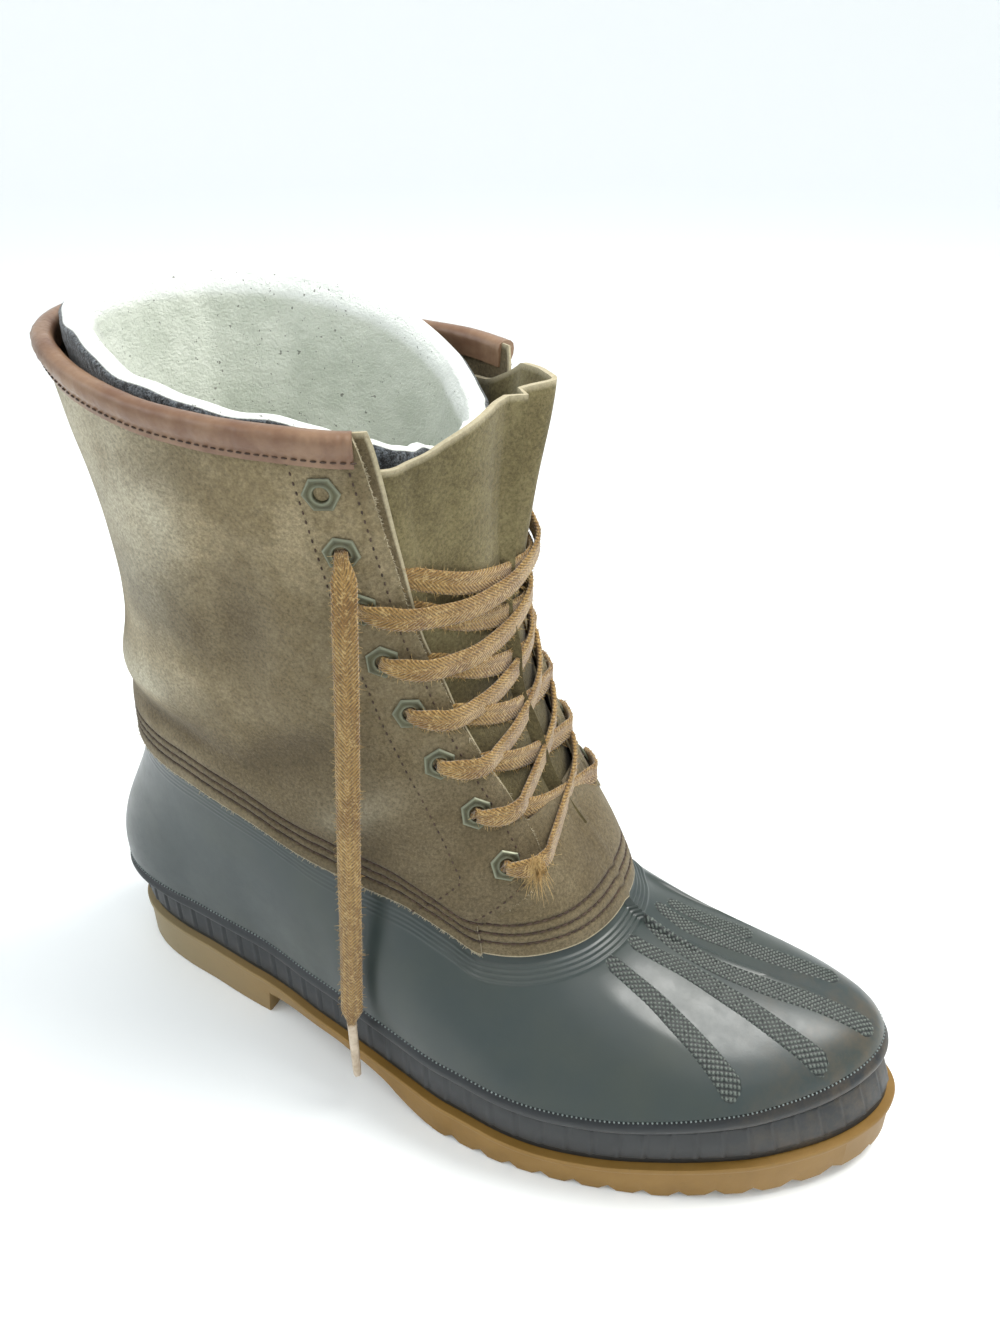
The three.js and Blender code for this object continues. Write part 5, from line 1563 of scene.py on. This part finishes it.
# Loose fibres: short bent threads with three sides, thinner at the tip
def makeStrands(name, starts, ways, lengths, thick, material, slot, seed):
    random = np.random.default_rng(seed)
    bends = unit(random.normal(size=starts.shape)) * random.uniform(0.1, 0.7, (len(starts), 1))
    across = unit(np.cross(ways, random.normal(size=starts.shape)))
    beside = np.cross(ways, across)
    rings = []
    for step in (0, 0.35, 0.7, 1):
        middle = starts + (ways * step + bends * step**2) * lengths[:, None]
        for corner in range(3):
            angle = corner * 2 * math.pi / 3
            arm = across * math.cos(angle) + beside * math.sin(angle)
            rings.append(middle + arm * thick * (1 - 0.6 * step))
    verts = np.stack(rings, 1).reshape(-1, 3)
    pattern = [(0, 2, 1), (9, 10, 11)]
    for r, c in [(r, c) for r in (0, 3, 6) for c in range(3)]:
        after = (c + 1) % 3
        pattern.append((r + c, r + after, r + 3 + after, r + 3 + c))
    faces = [tuple(n * 12 + c for c in face) for n in range(len(starts)) for face in pattern]
    return seat(meshPiece(name, toMetres(verts), faces, material, sharp=0), slot)


# Fuzz on the laces' edges, with a frayed tuft by the lowest outer eyelet
fuzz = {
    "each": 4, "from": (0.3, 0.48), "long": (0.7, 2.1), "thick": 0.11,
    "tuft": 160, "tuftAt": (10.5, -0.5, 6.5), "tuftWay": (0.35, -0.7, -0.9), "tuftLong": (3, 9.5),
}


def makeFuzz():
    random = np.random.default_rng(11)
    starts, ways, lengths = [], [], []
    for line, beside, out, width in laceFrames:
        for n in np.repeat(np.arange(len(line)), fuzz["each"]):
            side = random.choice((-1, 1))
            lift = random.normal() * 0.6
            reach = side * width[n] * random.uniform(*fuzz["from"])
            starts.append(line[n] + beside[n] * reach + out[n] * 0.5)
            ways.append(beside[n] * side + out[n] * (0.5 + lift) + random.normal(size=3) * 0.6)
            lengths.append(random.uniform(*fuzz["long"]))
    lowest = places[0][-1]
    tuft = lowest["point"] + lowest["out"] * 2.6 + np.array(fuzz["tuftAt"])
    for _ in range(fuzz["tuft"]):
        starts.append(tuft + random.normal(size=3) * 1.3)
        ways.append(np.array(fuzz["tuftWay"]) + random.normal(size=3) * 0.45)
        lengths.append(random.uniform(*fuzz["tuftLong"]))
    strands = (np.array(starts), unit(np.array(ways)), np.array(lengths))
    return makeStrands("lace_fibres", *strands, fuzz["thick"], fluff, "lace_cotton", 5)


# The frayed lower edge of the suede and the front edges of its quarters
fray = {"lower": 2600, "front": 1400, "long": (0.4, 1.3), "thick": 0.13}


def makeFray():
    random = np.random.default_rng(23)
    k = random.uniform(-0.995, 0.995, fray["lower"])
    height, turn, _ = quarterPlace(k, np.zeros(k.shape), np.zeros(k.shape))
    lap = legPoint(height, turn, random.uniform(0.1, 1.6, k.shape))
    lapWay = legPoint(height, turn, -4.0) - lap + vec(0, 0, -1.5 + 0 * k)
    rise = random.uniform(0.02, 1, fray["front"])
    side = np.where(random.uniform(size=rise.shape) < 0.5, -0.9995, 0.9995)
    height, turn, _ = quarterPlace(side, np.full(rise.shape, seams["top"]), rise)
    edge = legPoint(height, turn, random.uniform(0.1, 2.0, rise.shape))
    edgeWay = vec(4.0 + 0 * rise, 2.0 * np.sign(side), 0) + 0.5 * (legPoint(height, turn, -4.0) - edge)
    starts = np.concatenate([lap, edge])
    ways = unit(np.concatenate([unit(lapWay), unit(edgeWay)]) + random.normal(size=starts.shape) * 0.45)
    lengths = random.uniform(*fray["long"], len(starts))
    return makeStrands("suede_fray", starts, ways, lengths, fray["thick"], suedeFibres, "suede", 9)


# Where a quarter's front edge crosses the tongue, as a share of the way round it
def edgeOnTongue(height):
    toEdge = 0.5 - edgeTurn(height, 0)
    return 0.5 - 0.5 * toEdge / (0.5 - edgeTurn(height, tongueSize["lap"]))


# Pulls a row of points tight in plan, as a stretched lace bridges the hollows of what it crosses
def pullTight(points, centre):
    plan = points[:, :2] - centre
    chord = plan[None, :] - plan[:, None]
    cross = plan[:, None, 0] * chord[..., 1] - plan[:, None, 1] * chord[..., 0]
    tight = plan.copy()
    for n, spot in enumerate(plan[1:-1], 1):
        way = spot / np.linalg.norm(spot)
        bottom = way[0] * chord[:n, n + 1 :, 1] - way[1] * chord[:n, n + 1 :, 0]
        reach = cross[:n, n + 1 :] / np.where(np.abs(bottom) < 1e-9, 1e9, bottom)
        tight[n] = way * max(np.linalg.norm(spot), reach.max())
    length = lengthAlong(tight)
    return tight + centre, length / length[-1]


# The lace's runs: how far it lies above the leather and the tongue, how deep it goes behind a quarter,
# how far the outer row's bars ride over the inner's, how much the first and the last bar sag, and how much
# more the first one slants
laceRun = {
    "above": 1.2, "tongue": 0.4, "behind": 3.3, "over": 1.9,
    "firstSag": 13.0, "lastSag": 2.5, "firstTilt": 3.5,
}


# One bar of the lace: out of an eyelet, over the tongue and in under the other quarter's edge
def barRoute(start, end, over, sag, tilt=0.0):
    side = start["side"]
    first, last = start["height"] - 1.5 + tilt, end["height"] - 4.0 - 2 * tilt
    s = np.linspace(0, 1, 25)
    height = mix(first, last, s)
    t = mix(edgeOnTongue(first), 1 - edgeOnTongue(last), s)
    t = t if side < 0 else 1 - t
    up = np.clip((height - tongueSize["base"]) / (tongueSize["height"] - tongueSize["base"]), 0, 1)
    onTongue = tonguePoint(t, up, -laceRun["tongue"] - lace["thick"] / 2 - over)
    above = -laceRun["above"] - over
    lip = [legPoint(np.array(first), side * edgeTurn(first, back), above) for back in (8.0, 3.0, 0.3)]
    centre = np.array([leg["setback"] + leg["depth"] * 0.5, 0])
    plan, share = pullTight(np.concatenate([np.array(lip), onTongue]), centre)
    rise = mix(first, last, share) - sag * np.sin(np.pi * share)
    tight = np.concatenate([plan, rise[:, None]], 1)
    towards = unit(tight[0] - start["point"])
    route = [start["point"] + start["out"] * out for out in (-3.2, -0.6)]
    route.append(start["point"] + start["out"] * 1.5 + towards * 0.8)
    route += list(tight[[1, 3, 6, 9, 12, 15, 18, 21, 24, 26]])
    for back, lift in ((1.0, 0), (6.5, 0.5)):
        turn = end["side"] * edgeTurn(rise[-1], back)
        route.append(legPoint(np.array(rise[-1] + lift), turn, laceRun["behind"]))
    route.append(end["point"] - end["out"] * 3.4 - np.array([0, 0, 1.5]))
    route.append(end["point"] - end["out"] * 2.6)
    return route


def faceFront(line):
    middle = leg["setback"] + leg["depth"] * 0.62
    return vec((line[:, 0] - middle) * 0.6, line[:, 1], 0 * line[:, 0])


def pinchEnds(along, length):
    near = min(along, length - along)
    return float(1 - smooth((near - 4.0) / 9.0))


def makeLacing():
    outerRow, innerRow = places
    routes = []
    for i in range(2, eyeletSize["count"]):
        sag = mix(laceRun["firstSag"], laceRun["lastSag"], (i - 2) / 5)
        tilt = laceRun["firstTilt"] if i == 2 else 0
        routes.append((barRoute(innerRow[i], outerRow[i - 1], 0.0, sag * 0.7, tilt), faceFront, pinchEnds))
        routes.append((barRoute(outerRow[i], innerRow[i - 1], laceRun["over"], sag), faceFront, pinchEnds))
    return seat(sweepLace("cotton_lacing", routes), "lace_cotton", "lacing")


# The free end: these points are the solid's own, and above them its root is led into the second eyelet
laceEndRoute = [
    (152.8, -59, 208), (152, -59.2, 193), (150.1, -59.6, 164), (147.7, -60.4, 127), (145.7, -62, 83),
    (144.1, -64, 47),
]


def makeLaceEnd():
    hole = places[0][1]
    root = [hole["point"] - hole["out"] * 3.2, hole["point"] - hole["out"] * 0.2]
    root.append(hole["point"] + hole["out"] * 2.4 + np.array([0.2, 0, -0.6]))
    root.append(hole["point"] + hole["out"] * 4.2 + np.array([0.9, 0, -4.2]))
    route = root + [np.array(p, float) for p in laceEndRoute]

    def faceOut(line):
        return vec(0.4 + 0 * line[:, 0], -1, 0)

    def pinch(along, length):
        return float(max(1 - smooth((along - 5) / 8), 1.35 * smooth((along - length + 7) / 7)))

    piece = sweepLace("cotton_lace_end", [(route, faceOut, pinch)])
    seat(piece, "lace_cotton", "lace_end")
    line, length = curveThrough(route, 60)
    return piece, line, length


# Aglet: rings from the lace down to its tip, each a share of the radius and its place below the lace
def makeAglet():
    top = np.array(laceEndRoute[-1], float)
    angle = np.linspace(0, 2 * np.pi, 20, endpoint=False)
    end = -lace["aglet"]
    rings = [(0.62, 0.4), (1.02, 0.2), (1.06, -0.6), (0.98, -2), (1.0, -8), (0.94, -16), (0.9, end + 4)]
    rings += [(0.84, end + 0.8), (0.6, end)]
    flat = 1.0 + 0.12 * np.cos(2 * angle)
    verts = []
    for share, z in rings:
        reach = lace["agletRadius"] * share
        verts.append(top + vec(reach * flat * np.cos(angle), reach / flat * np.sin(angle), z))
    count = len(angle)
    faces = gridFaces(len(rings), count)
    faces += [list(range(count))[::-1], [(len(rings) - 1) * count + i for i in range(count)]]
    piece = meshPiece("lace_aglet", toMetres(np.array(verts)), faces, shrunkPlastic, sharp=40)
    return seat(piece, "aglet_plastic", "aglet")


# Camera fitted to the photo: place in millimetres, turns in radians and focal length in the photo's pixels
camera = {
    "x": 264.04, "y": -289.50, "z": 363.06, "azimuth": 0.428239, "elevation": 0.54187, "roll": -0.0063778,
    "focal": 1092.77, "photoHeight": 1328, "sensor": 36,
}


def makeCamera():
    a, e, r = camera["azimuth"], camera["elevation"], camera["roll"]
    back = Vector((math.sin(a) * math.cos(e), -math.cos(a) * math.cos(e), math.sin(e)))
    right = (-back).cross(Vector((0, 0, 1))).normalized()
    up = right.cross(-back)
    right, up = right * math.cos(r) + up * math.sin(r), up * math.cos(r) - right * math.sin(r)
    data = bpy.data.cameras.new("photo_camera")
    data.sensor_width = camera["sensor"]
    data.lens = camera["sensor"] * camera["focal"] / camera["photoHeight"]
    data.clip_start, data.clip_end = 0.01, 50
    eye = linked("photo_camera", data)
    spot = [camera[axis] * mm for axis in "xyz"]
    eye.matrix_world = Matrix([*zip(right, up, back, spot), (0, 0, 0, 1)])
    bpy.context.scene.camera = eye
    print("camera ready")


# A white bowl to stand in, flat in the middle with a wall that curves up all round, and soft lights
studio = {"centre": 0.9, "flat": 2.4, "curve": 1.1, "top": 2.4, "around": 72, "sky": 1.02}
lamps = {
    "over": {"at": (0.58, 0.28, 1.25), "to": (0.2, 0, 0.05), "size": 0.62, "watts": 15, "tint": "#fffefa"},
    "key": {"at": (0.85, -0.55, 1.25), "to": (0.2, 0, 0.05), "size": 0.75, "watts": 2, "tint": "#fffdf8"},
    "left": {"at": (-0.9, -0.75, 1.0), "to": (0.05, 0, 0.15), "size": 0.9, "watts": 4.5, "tint": "#f4f9ff"},
}


def makeLamp(name, lamp):
    data = bpy.data.lights.new(name, "AREA")
    data.shape = "DISK"
    data.size = lamp["size"]
    data.energy = lamp["watts"]
    data.color = colour(lamp["tint"])[:3]
    light = linked(name, data)
    light.location = lamp["at"]
    light.rotation_euler = (Vector(lamp["to"]) - Vector(lamp["at"])).to_track_quat("-Z", "Y").to_euler()


def makeStudio():
    material, _, surface = newMaterial("paperWhite", Roughness=0.95)
    surface.inputs["Base Color"].default_value = colour("#fafcfc")
    flat, curve, around = studio["flat"], studio["curve"], studio["around"]
    bends = np.linspace(0, np.pi / 2, 13)
    profile = [(flat + curve * math.sin(a), curve * (1 - math.cos(a))) for a in bends]
    profile = [(studio["centre"], 0), *profile, (flat + curve, studio["top"])]
    angle = np.arange(around) * 2 * np.pi / around
    verts = np.concatenate([vec(r * np.cos(angle), r * np.sin(angle), z) for r, z in profile])
    faces = [face[::-1] for face in gridFaces(len(profile), around)]
    mesh = bpy.data.meshes.new("floor")
    mesh.from_pydata(verts.tolist(), [], [*faces, list(range(around))])
    mesh.materials.append(material)
    mesh.shade_smooth()
    linked("floor", mesh)
    world = bpy.data.worlds.new("studio")
    world.use_nodes = True
    sky = world.node_tree.nodes["Background"]
    sky.inputs["Color"].default_value = colour("#f6fafc")
    sky.inputs["Strength"].default_value = studio["sky"]
    bpy.context.scene.world = world
    for name, lamp in lamps.items():
        makeLamp(name, lamp)
    bpy.context.scene.view_settings.view_transform = "Standard"
    print("studio ready with", len(lamps), "lights")


makeCamera()
laceEndPiece, laceLine, laceLength = makeLaceEnd()
agletPiece = makeAglet()
makeOutsole()
makeRand()
shell = makeRubberFoot()
makeStrips(shell)
makeUpper()
makePlug()
makeBackstay()
makeBinding()
makeFacings()
makeTongue()
makeLiner()
makeInsole()
makeEyelets()
makeStitches()
makeLacing()
makeFuzz()
makeFray()
makeTicks()
makeStudio()
tuple(toMetres(laceLine[:1])[0])
[tuple(p) for p in toMetres(laceLine)]
